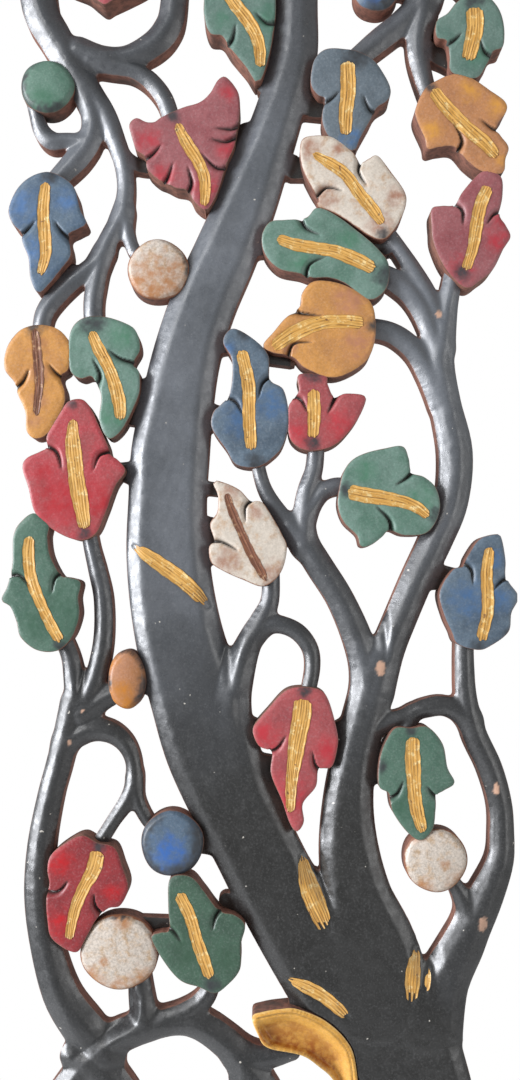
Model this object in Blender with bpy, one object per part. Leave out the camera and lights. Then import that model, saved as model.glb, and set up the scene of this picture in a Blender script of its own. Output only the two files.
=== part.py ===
# Pierced wall panel: a fruiting tree carved from one plank, with lobed leaves and round fruit.
# The plank stands upright in the XZ plane. Its flat back is at Y = 0 and its carved face looks along -Y.
# Places come from a full-size drawing laid on the plank: x runs right and y runs down, in drawing units.
# The panel runs on past both ends of the drawing, so it is cut off square there.

import math

import bmesh
import bpy
from mathutils import Vector

# Sizes in metres
PANEL_HEIGHT = 1.140
PLANK_THICKNESS = 0.032
LIMB_EDGE_HEIGHT = 0.019
LIMB_CROWN_LIMIT = 0.010
LIMB_CROWN_SHARE = 0.75
LEAF_EDGE_ROUNDING = 0.003
FRUIT_EDGE_HEIGHT = 0.024
FRUIT_FACE_SETBACK = 0.001
WEB_HEIGHT = 0.015
VEIN_WIDTH = 0.011
VEIN_DEPTH = 0.0025
NOTCH_WIDTH = 0.007
NOTCH_DEPTH = 0.011
STROKE_WIDTH = 0.014
STROKE_DEPTH = 0.0025
CRESCENT_HOLLOW_DEPTH = 0.006

# The drawing: its cut lines, and the point on the trunk where the wall fixing sits
TOP_CUT = -40
BOTTOM_CUT = 1100
FIXING_X = 258
FIXING_Y = 166
UNIT = PANEL_HEIGHT / (BOTTOM_CUT - TOP_CUT)

# How the shapes are built
OVERCUT = 0.004
OVERCUT_STEP = 0.0001
LIMB_FACETS = 4
LIMB_TURN = 20
LEAF_TURN = 36
FRUIT_SIDES = 18
FRUIT_RINGS = 8

# Each limb is a line of stations: x, y, width
LIMBS = {
    "trunk": (
        (297, -60, 42), (297, 0, 43), (295, 50, 46), (281, 100, 48), (264, 150, 53), (245, 200, 60),
        (224, 250, 64), (202, 300, 66), (186, 350, 68), (176, 400, 73), (169, 450, 79), (166, 500, 79),
        (166, 550, 83), (171, 600, 86), (181, 650, 90), (197, 700, 96), (211, 750, 95), (230, 800, 88),
        (255, 850, 86), (281, 900, 88), (315, 950, 100), (356, 1000, 120), (396, 1050, 124), (414, 1090, 118),
        (422, 1130, 118),
    ),
    "right_stem": (
        (376, 1000, 120), (370, 950, 98), (358, 900, 72), (350, 850, 60), (350, 800, 50), (358, 750, 45),
        (371, 700, 44), (377, 665, 42),
    ),
    "middle_limb": (
        (374, 700, 34), (362, 648, 31), (343, 602, 28), (322, 568, 28), (303, 539, 27), (290, 525, 22),
    ),
    "blue_centre_stalk": ((300, 536, 22), (281, 513, 17), (266, 490, 15), (259, 468, 14), (257, 450, 14)),
    "red_centre_stalk": ((304, 545, 26), (305, 515, 24), (308, 490, 21), (315, 466, 18), (317, 442, 17)),
    "green_heart_stalk": ((308, 512, 20), (322, 492, 18), (336, 485, 18), (352, 485, 16)),
    "right_limb": (
        (378, 690, 36), (390, 650, 34), (402, 620, 33), (419, 580, 33), (438, 540, 34), (454, 500, 34),
        (458, 450, 35), (448, 400, 31), (441, 360, 32), (446, 325, 26), (451, 295, 21), (458, 262, 20),
    ),
    "white_top_stalk": (
        (385, 220, 13), (398, 240, 16), (414, 264, 18), (428, 288, 20), (440, 315, 20), (447, 345, 20),
    ),
    "green_middle_stalk": ((374, 265, 20), (397, 277, 23), (415, 292, 24), (429, 315, 24), (440, 348, 22)),
    "ochre_middle_stalk": (
        (362, 324, 21), (386, 327, 21), (403, 335, 22), (419, 350, 23), (432, 371, 26), (444, 398, 26),
    ),
    "trunk_spur": ((229, 712, 40), (238, 672, 34), (248, 645, 27), (261, 621, 23), (270, 600, 19), (271, 570, 18)),
    "red_lower_stalk": (
        (256, 634, 20), (270, 625, 20), (285, 626, 18), (300, 634, 18), (311, 650, 17), (313, 670, 16), (308, 697, 15),
    ),
    "outer_limb": (
        (428, 1030, 80), (447, 985, 52), (470, 940, 42), (489, 900, 36), (503, 865, 28), (505, 835, 25),
        (503, 805, 24), (493, 770, 25), (477, 735, 25), (469, 700, 22), (467, 665, 20), (467, 635, 19),
    ),
    "outer_hook": ((474, 722, 22), (450, 708, 21), (430, 709, 20), (415, 716, 18), (407, 735, 16)),
    "outer_link": ((412, 716, 16), (396, 722, 18), (380, 728, 18)),
    "right_fruit_stalk": ((452, 880, 13), (463, 898, 18), (472, 920, 26), (470, 950, 30), (456, 980, 30)),
    "left_limb": (
        (100, 1068, 50), (78, 1036, 46), (58, 1000, 38), (43, 950, 32), (36, 900, 30), (38, 850, 28),
        (47, 800, 26), (55, 770, 26), (63, 738, 26), (70, 705, 26),
    ),
    "left_green_stalk": ((76, 705, 28), (71, 676, 21), (67, 656, 18), (58, 634, 17)),
    "left_red_stalk": (
        (80, 712, 26), (94, 675, 22), (101, 640, 20), (101, 600, 19), (95, 570, 18), (89, 545, 16), (85, 520, 15),
    ),
    "left_arch": (
        (62, 745, 24), (86, 732, 25), (106, 733, 23), (122, 744, 19), (131, 762, 16), (132, 785, 17),
        (125, 804, 17), (112, 823, 15), (100, 842, 15),
    ),
    "blue_fruit_stalk": ((133, 780, 14), (136, 803, 14), (145, 822, 13), (156, 834, 12)),
    "ochre_fruit_stalk": ((78, 716, 28), (98, 702, 24), (116, 692, 22)),
    "base_loop": (
        (52, 1112, 30), (78, 1080, 34), (104, 1052, 34), (130, 1038, 32), (168, 1030, 24), (196, 1030, 30),
        (222, 1046, 32), (243, 1068, 36), (258, 1112, 60),
    ),
    "base_left_leg": ((72, 1062, 30), (96, 1078, 44), (126, 1118, 44)),
    "base_link": ((236, 1062, 30), (262, 1064, 26), (292, 1058, 18)),
    "lower_green_stalk": ((150, 1030, 24), (180, 1020, 22), (200, 1008, 21), (210, 992, 18), (212, 970, 16)),
    "lower_fruit_stalk": ((138, 975, 20), (139, 1000, 26), (143, 1030, 30)),
    "top_left_limb": (
        (30, -60, 38), (37, 0, 36), (52, 30, 34), (68, 58, 31), (82, 85, 27), (90, 110, 23), (88, 132, 24),
        (75, 152, 25), (56, 172, 21),
    ),
    "top_ring": (
        (176, -60, 26), (172, 0, 27), (165, 22, 28), (150, 38, 27), (125, 50, 24), (100, 51, 26), (76, 44, 30),
    ),
    "red_top_stalk": ((88, 52, 22), (112, 58, 20), (132, 63, 18), (149, 74, 18), (163, 92, 18), (171, 116, 18)),
    "green_fruit_stalk": ((84, 136, 18), (66, 134, 15), (50, 135, 19), (39, 125, 17), (33, 108, 14), (28, 90, 12)),
    "left_stem": ((84, 78, 24), (103, 108, 22), (114, 135, 20), (122, 160, 19), (124, 185, 18), (120, 212, 21)),
    "cream_fruit_stalk": ((123, 205, 13), (126, 228, 14), (131, 243, 14), (138, 254, 13)),
    "left_fork": ((122, 205, 18), (108, 232, 20), (97, 254, 20)),
    "ochre_left_stalk": ((104, 246, 16), (90, 261, 18), (72, 275, 19), (52, 294, 20), (41, 311, 19), (38, 332, 18)),
    "green_left_stalk": ((101, 248, 18), (94, 278, 20), (91, 300, 20), (92, 328, 20)),
    "top_right_limb": ((424, -60, 36), (425, 0, 34), (421, 25, 27), (420, 45, 22), (424, 65, 20), (432, 92, 17)),
    "blue_top_stalk": ((434, -14, 28), (404, 14, 25), (379, 34, 24), (351, 57, 20)),
    "green_top_stalk": ((424, -34, 20), (450, -32, 18), (470, -18, 18), (473, 8, 16)),
    "top_fruit_stalk": ((420, -24, 18), (398, -22, 16), (378, -20, 16)),
    "top_centre_stalk": ((172, -30, 16), (196, -34, 16), (216, -24, 16)),
}

# Low webs left between neighbours, drawn like limbs
WEBS = {
    "web_red_top_left": ((120, 150, 16), (136, 158, 14), (152, 160, 14)),
    "web_red_top_right": ((216, 198, 16), (226, 174, 22), (238, 150, 24), (246, 128, 26)),
    "web_top_centre": ((263, 80, 12), (270, 52, 14), (276, 24, 14)),
    "web_white_on_green": ((318, 208, 12), (350, 224, 14), (378, 240, 12)),
    "web_blue_top": ((300, 95, 26), (330, 103, 16)),
    "web_white_top": ((294, 160, 24), (310, 164, 16)),
    "web_green_top": ((424, 40, 20), (444, 48, 18), (456, 54, 18)),
    "web_left_blue": ((52, 282, 12), (68, 266, 16)),
    "web_left_green": ((142, 400, 50), (124, 402, 40)),
    "web_left_red": ((134, 472, 26), (114, 468, 16)),
    "web_ochre_fruit": ((152, 676, 44), (132, 680, 30)),
    "web_blue_fruit": ((212, 842, 34), (190, 842, 30)),
    "web_green_middle": ((252, 236, 30), (274, 238, 24)),
    "web_green_to_white": ((372, 234, 10), (388, 244, 12)),
    "web_ochre_to_blue": ((262, 352, 14), (292, 358, 10)),
    "web_blue_centre_top": ((214, 340, 22), (232, 342, 14)),
    "web_blue_centre_low": ((206, 414, 30), (224, 416, 24)),
    "web_white_lower_top": ((204, 486, 14), (222, 488, 14)),
    "web_white_lower_low": ((204, 540, 52), (222, 540, 44)),
    "web_white_to_limb": ((262, 512, 14), (286, 536, 18)),
    "web_heart": ((428, 500, 34), (446, 504, 30)),
    "web_blue_right": ((436, 576, 28), (456, 578, 22)),
    "web_red_lower_left": ((246, 728, 22), (262, 730, 14)),
    "web_red_lower_tip": ((268, 776, 14), (280, 804, 18), (294, 826, 14)),
    "web_red_lower_right": ((344, 742, 44), (330, 742, 30)),
    "web_red_lower_hole": ((254, 762, 14), (280, 766, 12)),
    "web_green_right": ((374, 766, 44), (392, 766, 34)),
    "web_green_on_fruit": ((414, 824, 16), (430, 838, 16)),
    "web_left_red_low": ((44, 880, 30), (60, 884, 24)),
    "web_red_on_fruit": ((84, 932, 16), (100, 946, 16)),
    "web_fruit_to_green": ((140, 932, 20), (168, 930, 14)),
    "web_green_low": ((226, 905, 16), (246, 908, 26)),
    "web_crescent": ((304, 1008, 30), (350, 1020, 46)),
    "web_ochre_left": ((64, 352, 26), (76, 352, 26)),
    "web_ochre_to_red": ((52, 424, 18), (64, 418, 18)),
}

# Fruit: centre x, centre y, half-width, half-height, paint
FRUIT = {
    "fruit_top_left": (46, 83, 27, 26, "green"),
    "fruit_upper_cream": (157, 267, 31, 29, "cream"),
    "fruit_left_ochre": (126, 680, 18, 30, "ochre"),
    "fruit_blue": (172, 845, 32, 33, "blue"),
    "fruit_lower_cream": (119, 954, 39, 38, "cream"),
    "fruit_right_cream": (437, 862, 32, 32, "cream"),
    "fruit_top": (377, -17, 23, 24, "blue"),
}

# Leaves: paint, outline, vein line, and notches from the rim inwards
LEAVES = {
    "leaf_top_centre": (
        "green",
        ((204, -4), (208, 31), (220, 35), (228, 42), (241, 54), (250, 70), (258, 80), (266, 62), (272, 36),
         (276, 4), (272, -22), (250, -40), (222, -38), (206, -24)),
        ((214, -20), (236, 8), (252, 36), (256, 67)),
        (((226, 44), (234, 26)), ((277, 20), (257, 13))),
    ),
    "leaf_red_wings": (
        "red",
        ((168, 112), (155, 121), (135, 118), (129, 130), (136, 149), (145, 156), (147, 168), (157, 178),
         (166, 183), (178, 187), (188, 190), (194, 201), (206, 209), (216, 188), (227, 162), (236, 140),
         (240, 118), (238, 94), (231, 80), (222, 76), (212, 88), (200, 102), (184, 106)),
        ((176, 122), (190, 145), (202, 165), (206, 204)),
        (((140, 157), (160, 146)), ((160, 186), (171, 166)), ((184, 192), (188, 172)), ((234, 165), (201, 154)),
         ((243, 132), (213, 139)), ((246, 117), (218, 126))),
    ),
    "leaf_blue_left": (
        "blue",
        ((47, 171), (30, 178), (14, 193), (8, 212), (19, 230), (21, 244), (29, 262), (33, 286), (40, 292),
         (56, 276), (70, 256), (71, 236), (86, 223), (79, 204), (74, 186), (64, 173)),
        ((46, 182), (42, 210), (46, 240), (40, 272)),
        (((15, 233), (34, 221)), ((76, 238), (56, 221))),
    ),
    "leaf_ochre_left": (
        "ochre",
        ((33, 324), (17, 332), (5, 350), (6, 372), (16, 382), (18, 398), (26, 414), (28, 433), (44, 437),
         (55, 421), (64, 400), (60, 375), (69, 366), (70, 336), (56, 326)),
        ((37, 330), (40, 365), (42, 392), (36, 420)),
        (((10, 386), (27, 369)), ((68, 380), (50, 366))),
    ),
    "leaf_green_left": (
        "green",
        ((84, 319), (72, 329), (69, 350), (72, 373), (85, 377), (96, 384), (103, 400), (104, 424), (112, 438),
         (128, 420), (139, 394), (136, 366), (141, 346), (134, 325), (113, 318), (98, 317)),
        ((92, 332), (98, 352), (112, 380), (118, 418)),
        (((93, 392), (94, 362)), ((138, 362), (109, 349))),
    ),
    "leaf_red_left": (
        "red",
        ((67, 400), (84, 399), (92, 412), (106, 434), (108, 454), (124, 466), (116, 486), (104, 512), (93, 535),
         (76, 540), (54, 530), (34, 512), (28, 490), (22, 466), (30, 454), (47, 450), (48, 436), (60, 412)),
        ((72, 420), (73, 450), (78, 485), (84, 526)),
        (((44, 447), (61, 468)), ((112, 453), (94, 470))),
    ),
    "leaf_green_lower_left": (
        "green",
        ((34, 513), (20, 522), (12, 545), (14, 570), (6, 586), (1, 599), (12, 610), (20, 636), (36, 649),
         (56, 652), (71, 641), (80, 618), (78, 596), (79, 579), (62, 577), (51, 556), (46, 528)),
        ((30, 540), (28, 566), (40, 600), (60, 640)),
        (((10, 577), (31, 584)), ((64, 571), (53, 593))),
    ),
    "leaf_blue_top": (
        "blue",
        ((349, 49), (328, 48), (314, 62), (311, 88), (324, 100), (323, 124), (340, 143), (355, 150), (364, 128),
         (376, 109), (390, 98), (387, 78), (374, 60), (362, 52)),
        ((346, 62), (345, 90), (347, 112), (345, 133)),
        (((318, 102), (338, 89)), ((384, 113), (364, 95))),
    ),
    "leaf_ochre_top": (
        "ochre",
        ((436, 82), (422, 92), (417, 116), (426, 147), (450, 146), (468, 160), (484, 171), (504, 168), (508, 146),
         (500, 126), (506, 106), (490, 90), (468, 77), (450, 74)),
        ((434, 88), (452, 112), (474, 134), (492, 154)),
        (((453, 156), (454, 123)), ((508, 124), (482, 120))),
    ),
    "leaf_green_top": (
        "green",
        ((473, -6), (457, 3), (448, 16), (437, 22), (438, 38), (450, 44), (451, 70), (476, 77), (490, 58),
         (503, 42), (504, 16), (491, -2)),
        ((475, 6), (474, 28), (468, 44), (466, 60)),
        (((444, 44), (462, 30)), ((494, 56), (482, 38))),
    ),
    "leaf_red_right": (
        "red",
        ((458, 271), (443, 264), (434, 244), (430, 220), (435, 206), (453, 206), (463, 186), (482, 172),
         (498, 171), (502, 196), (498, 217), (511, 234), (504, 254), (490, 276), (468, 287)),
        ((490, 186), (482, 200), (478, 228), (466, 270)),
        (((450, 200), (464, 224)), ((506, 211), (487, 224))),
    ),
    "leaf_white_top": (
        "cream",
        ((300, 148), (306, 137), (330, 137), (352, 149), (364, 162), (378, 157), (390, 174), (405, 192),
         (404, 214), (388, 231), (382, 238), (360, 228), (340, 212), (317, 204), (320, 192), (308, 172)),
        ((306, 149), (334, 164), (358, 192), (384, 226)),
        (((362, 160), (366, 184)), ((314, 198), (342, 189))),
    ),
    "leaf_green_middle": (
        "green",
        ((270, 221), (263, 236), (270, 256), (290, 270), (312, 273), (330, 278), (352, 287), (372, 300),
         (386, 290), (384, 262), (370, 240), (346, 219), (318, 206), (306, 218), (286, 219)),
        ((276, 236), (300, 244), (334, 250), (376, 270)),
        (((301, 216), (320, 234)), ((310, 278), (328, 256))),
    ),
    "leaf_ochre_middle": (
        "ochre",
        ((316, 280), (304, 290), (302, 306), (284, 318), (266, 340), (276, 357), (296, 359), (312, 372),
         (336, 376), (360, 364), (374, 346), (371, 316), (364, 294), (340, 283)),
        ((276, 346), (300, 330), (330, 322), (366, 322)),
        (((298, 306), (322, 315)), ((292, 362), (313, 341))),
    ),
    "leaf_blue_centre": (
        "blue",
        ((230, 328), (223, 342), (233, 362), (230, 396), (214, 410), (213, 428), (226, 450), (238, 465),
         (260, 463), (280, 448), (289, 420), (284, 388), (269, 379), (268, 354), (250, 336)),
        ((240, 350), (248, 380), (248, 416), (252, 452)),
        (((224, 398), (242, 412)), ((275, 378), (259, 396))),
    ),
    "leaf_red_centre": (
        "red",
        ((300, 372), (299, 392), (288, 404), (290, 434), (302, 447), (326, 448), (348, 436), (362, 410),
         (366, 396), (350, 393), (332, 396), (330, 374)),
        ((312, 388), (314, 404), (313, 420), (312, 438)),
        (((292, 396), (306, 410)), ((336, 392), (328, 414))),
    ),
    "leaf_green_heart": (
        "green",
        ((345, 472), (356, 456), (380, 451), (404, 448), (411, 470), (430, 480), (440, 502), (436, 524),
         (422, 537), (400, 533), (387, 530), (378, 541), (362, 548), (354, 534), (340, 518), (337, 498)),
        ((348, 491), (376, 495), (404, 501), (428, 514)),
        (((416, 468), (397, 483)), ((388, 536), (378, 507))),
    ),
    "leaf_white_lower": (
        "cream",
        ((213, 481), (232, 485), (248, 498), (260, 505), (276, 520), (287, 544), (280, 570), (268, 585),
         (246, 582), (226, 571), (211, 566), (210, 548), (216, 538), (211, 524), (218, 508), (210, 494)),
        ((227, 497), (236, 518), (248, 548), (268, 580)),
        (((251, 497), (246, 520)), ((208, 542), (237, 550))),
    ),
    "leaf_red_lower": (
        "red",
        ((312, 689), (286, 692), (268, 708), (254, 724), (256, 742), (271, 752), (271, 776), (284, 806),
         (296, 832), (304, 826), (303, 806), (318, 784), (322, 767), (335, 764), (338, 740), (336, 718), (325, 694)),
        ((306, 700), (300, 726), (292, 760), (288, 810)),
        (((264, 749), (285, 737)), ((324, 774), (314, 752))),
    ),
    "leaf_green_right": (
        "green",
        ((412, 727), (394, 730), (384, 752), (380, 780), (389, 794), (394, 812), (409, 835), (422, 841),
         (432, 828), (436, 797), (454, 785), (447, 766), (444, 744), (430, 728)),
        ((412, 738), (410, 768), (412, 800), (420, 834)),
        (((386, 797), (402, 778)), ((440, 796), (428, 786))),
    ),
    "leaf_blue_right": (
        "blue",
        ((498, 533), (478, 539), (466, 552), (465, 564), (448, 573), (439, 592), (446, 614), (459, 640),
         (478, 649), (500, 641), (510, 620), (518, 597), (506, 579), (507, 566), (503, 542)),
        ((492, 545), (486, 580), (490, 614), (480, 640)),
        (((464, 560), (474, 584)), ((511, 579), (496, 591))),
    ),
    "leaf_red_lower_left": (
        "red",
        ((92, 836), (70, 841), (52, 855), (49, 880), (45, 898), (50, 928), (60, 945), (77, 952), (90, 932),
         (100, 914), (114, 908), (127, 896), (124, 872), (121, 853), (110, 842)),
        ((99, 848), (90, 874), (74, 902), (70, 940)),
        (((44, 888), (67, 880)), ((102, 916), (93, 896))),
    ),
    "leaf_green_low": (
        "green",
        ((168, 882), (186, 879), (204, 890), (220, 913), (240, 919), (244, 932), (241, 962), (230, 982),
         (212, 990), (188, 982), (166, 964), (151, 944), (156, 934), (170, 930), (169, 906)),
        ((178, 894), (192, 920), (198, 950), (209, 976)),
        (((224, 910), (214, 930)), ((164, 928), (182, 940))),
    ),
    "leaf_red_tip": (
        "red",
        ((104, 17), (96, 10), (86, -3), (68, -12), (53, -24), (44, -44), (44, -60), (171, -60), (169, -44),
         (158, -26), (146, -12), (128, 1), (112, 12)),
        ((104, 6), (106, -20), (106, -60)),
        (),
    ),
    "crescent": (
        "ochre",
        ((253, 1018), (268, 1013), (298, 1012), (324, 1023), (346, 1042), (356, 1066), (360, 1130), (348, 1130),
         (336, 1086), (318, 1067), (300, 1056), (266, 1049), (257, 1036)),
        (),
        (),
    ),
}

# The hollow scooped along the crescent: x, y, width
CRESCENT_HOLLOW = ((268, 1034, 10), (296, 1036, 20), (324, 1050, 24), (344, 1078, 20), (352, 1130, 14))

# Gouge strokes on the trunk: x, y, share of the crown's height there
TRUNK_STROKES = (
    ((138, 547, 0.50), (160, 560, 0.97), (184, 578, 0.83), (204, 600, 0.35)),
    ((301, 864, 0.30), (307, 890, 0.60), (318, 922, 0.80)),
    ((414, 966, 0.30), (412, 984, 0.45), (412, 1004, 0.60)),
    ((296, 983, 0.55), (320, 992, 0.80), (340, 1008, 0.90)),
)

# Paint colours: red, green, blue, roughness, metallic
PAINTS = {
    "dark": (0.030, 0.032, 0.035, 0.42, 0.0),
    "green": (0.070, 0.200, 0.130, 0.60, 0.0),
    "red": (0.420, 0.045, 0.055, 0.60, 0.0),
    "blue": (0.085, 0.170, 0.300, 0.60, 0.0),
    "ochre": (0.560, 0.270, 0.075, 0.60, 0.0),
    "cream": (0.620, 0.520, 0.410, 0.70, 0.0),
    "gold": (0.780, 0.500, 0.180, 0.45, 0.3),
    "wood": (0.130, 0.050, 0.032, 0.75, 0.0),
}


# Scene set-up
def clear_scene():
    for obj in list(bpy.data.objects):
        bpy.data.objects.remove(obj)


def new_collection(name):
    collection = bpy.data.collections.new(name)
    bpy.context.scene.collection.children.link(collection)
    return collection


def make_paints():
    made = {}
    for name, (red, green, blue, roughness, metallic) in PAINTS.items():
        material = bpy.data.materials.new(name)
        material.use_nodes = True
        shader = material.node_tree.nodes["Principled BSDF"]
        shader.inputs["Base Color"].default_value = (red, green, blue, 1.0)
        shader.inputs["Roughness"].default_value = roughness
        shader.inputs["Metallic"].default_value = metallic
        made[name] = material
    return made


# Geometry helpers
def on_panel(x, y, height):
    """The point that stands height above the back of the plank at a place on the drawing."""
    return Vector(((x - FIXING_X) * UNIT, -height, (FIXING_Y - y) * UNIT))


def through_points(points, turn, closed):
    """A Catmull-Rom curve through the points, stepped so that no step turns much more than the angle given."""
    count = len(points)
    last = count if closed else count - 1
    line = []
    for i in range(last):
        if closed:
            a, b, c, d = (points[(i + k) % count] for k in (-1, 0, 1, 2))
        else:
            a, b, c, d = (points[min(max(i + k, 0), count - 1)] for k in (-1, 0, 1, 2))
        leaving = Vector((c[0] - a[0], c[1] - a[1]))
        arriving = Vector((d[0] - b[0], d[1] - b[1]))
        steps = max(1, math.ceil(math.degrees(leaving.angle(arriving)) / turn))
        for step in range(steps):
            t = step / steps
            line.append(tuple(
                0.5 * (2 * q + (r - p) * t + (2 * p - 5 * q + 4 * r - s) * t * t + (3 * q - p - 3 * r + s) * t ** 3)
                for p, q, r, s in zip(a, b, c, d)
            ))
    if not closed:
        line.append(tuple(points[-1]))
    return line


def add_object(name, bm, collection, materials, helper):
    bmesh.ops.recalc_face_normals(bm, faces=bm.faces)
    mesh = bpy.data.meshes.new(name)
    bm.to_mesh(mesh)
    bm.free()
    for material in materials:
        mesh.materials.append(material)
    obj = bpy.data.objects.new(name, mesh)
    collection.objects.link(obj)
    obj.hide_render = helper
    if helper:
        obj.display_type = "WIRE"
    return obj


def paint_faces(bm, slots):
    """Slot 0 is the painted face and slot 1, where there is one, the bare sawn side."""
    bm.normal_update()
    for face in bm.faces:
        face.material_index = 0 if face.normal.y < -0.3 or slots == 1 else 1


def sawn_back(bm, depth):
    """Carries the open rim back to the depth and closes it there."""
    rim = [edge for edge in bm.edges if edge.is_boundary]
    made = bmesh.ops.extrude_edge_only(bm, edges=rim)["geom"]
    for vert in (item for item in made if isinstance(item, bmesh.types.BMVert)):
        vert.co.y = depth
    bmesh.ops.holes_fill(bm, edges=[edge for edge in bm.edges if edge.is_boundary], sides=0)


def at_height(line, height):
    return [(x, y, height) for x, y in line]


def limb_rise(half):
    return min(LIMB_CROWN_SHARE * half, LIMB_CROWN_LIMIT)


# Parts of the carving
def carve_strip(name, route, facets, edge_height, rise, depth, collection, materials):
    """A strip along its route, arched across its width by its rise, with straight sides down to a depth."""
    stations = through_points(route, LIMB_TURN, False)
    rows = len(stations) - 1
    bm = bmesh.new()
    bmesh.ops.create_grid(bm, x_segments=facets, y_segments=rows, size=1.0)
    for vert in bm.verts:
        across = vert.co.x
        row = round((vert.co.y + 1) / 2 * rows)
        x, y, width = stations[row]
        before = stations[max(row - 1, 0)]
        after = stations[min(row + 1, rows)]
        along = Vector((after[0] - before[0], after[1] - before[1])).normalized()
        half = width / 2
        height = edge_height + rise(half * UNIT) * math.cos(across * math.pi / 2)
        vert.co = on_panel(x - along.y * across * half, y + along.x * across * half, height)
    sawn_back(bm, depth)
    paint_faces(bm, len(materials))
    return add_object(name, bm, collection, materials, True)


def carve_leaf(name, outline, depth, collection, materials):
    """A leaf: a thick plate cut to its outline, with its front rim eased."""
    bm = bmesh.new()
    rim_height = PLANK_THICKNESS - LEAF_EDGE_ROUNDING
    verts = [bm.verts.new(on_panel(x, y, rim_height)) for x, y in through_points(outline, LEAF_TURN, True)]
    front = bm.faces.new(verts)
    bm.normal_update()
    if front.normal.y > 0:
        front.normal_flip()
        bm.normal_update()
    bmesh.ops.inset_region(bm, faces=[front], thickness=LEAF_EDGE_ROUNDING, depth=LEAF_EDGE_ROUNDING,
                           use_even_offset=False)
    sawn_back(bm, depth)
    paint_faces(bm, len(materials))
    return add_object(name, bm, collection, materials, True)


def carve_fruit(name, x, y, half_width, half_height, depth, collection, materials):
    """A fruit: a straight-sided stub under a low dome."""
    bm = bmesh.new()
    bmesh.ops.create_uvsphere(bm, u_segments=FRUIT_SIDES, v_segments=FRUIT_RINGS, radius=1.0)
    dome = PLANK_THICKNESS - FRUIT_FACE_SETBACK - FRUIT_EDGE_HEIGHT
    lower = [vert for vert in bm.verts if vert.co.z < -0.01]
    bmesh.ops.delete(bm, geom=lower, context="VERTS")
    for vert in bm.verts:
        out = vert.co.copy()
        vert.co = on_panel(x + out.x * half_width, y + out.y * half_height, FRUIT_EDGE_HEIGHT + out.z * dome)
    sawn_back(bm, depth)
    paint_faces(bm, len(materials))
    return add_object(name, bm, collection, materials, True)


def gouge(name, line, width, depth, collection, material):
    """A V-shaped cut along a line of places and surface heights, narrower and shallower at both ends."""
    points = through_points(line, 180, False)
    bm = bmesh.new()
    loops = []
    for i, (x, y, surface) in enumerate(points):
        before = points[max(i - 1, 0)]
        after = points[min(i + 1, len(points) - 1)]
        along = Vector((after[0] - before[0], after[1] - before[1])).normalized()
        half = width / UNIT / 2 * (0.45 if i in (0, len(points) - 1) else 1.0)
        sink = depth * (0.4 if i in (0, len(points) - 1) else 1.0)
        lift = 1.5 * depth
        spread = half * (1 + lift / depth)
        loops.append([
            bm.verts.new(on_panel(x - along.y * spread, y + along.x * spread, surface + lift)),
            bm.verts.new(on_panel(x, y, surface - sink)),
            bm.verts.new(on_panel(x + along.y * spread, y - along.x * spread, surface + lift)),
        ])
    for first, second in zip(loops, loops[1:]):
        for i in range(3):
            j = (i + 1) % 3
            bm.faces.new((first[i], first[j], second[j], second[i]))
    bm.faces.new(loops[0])
    bm.faces.new(reversed(loops[-1]))
    return add_object(name, bm, collection, [material], True)


def waste_block(name, near, far, collection, material):
    """A block that saws away what lies between two opposite corners."""
    bm = bmesh.new()
    bmesh.ops.create_cube(bm, size=1.0)
    for vert in bm.verts:
        vert.co = Vector(tuple(low if side < 0 else high for side, low, high in zip(vert.co, near, far)))
    return add_object(name, bm, collection, [material], True)


def add_boolean(obj, name, operation, others):
    modifier = obj.modifiers.new(name, "BOOLEAN")
    modifier.operation = operation
    modifier.solver = "EXACT"
    modifier.material_mode = "TRANSFER"
    modifier.operand_type = "COLLECTION"
    modifier.collection = others


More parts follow.
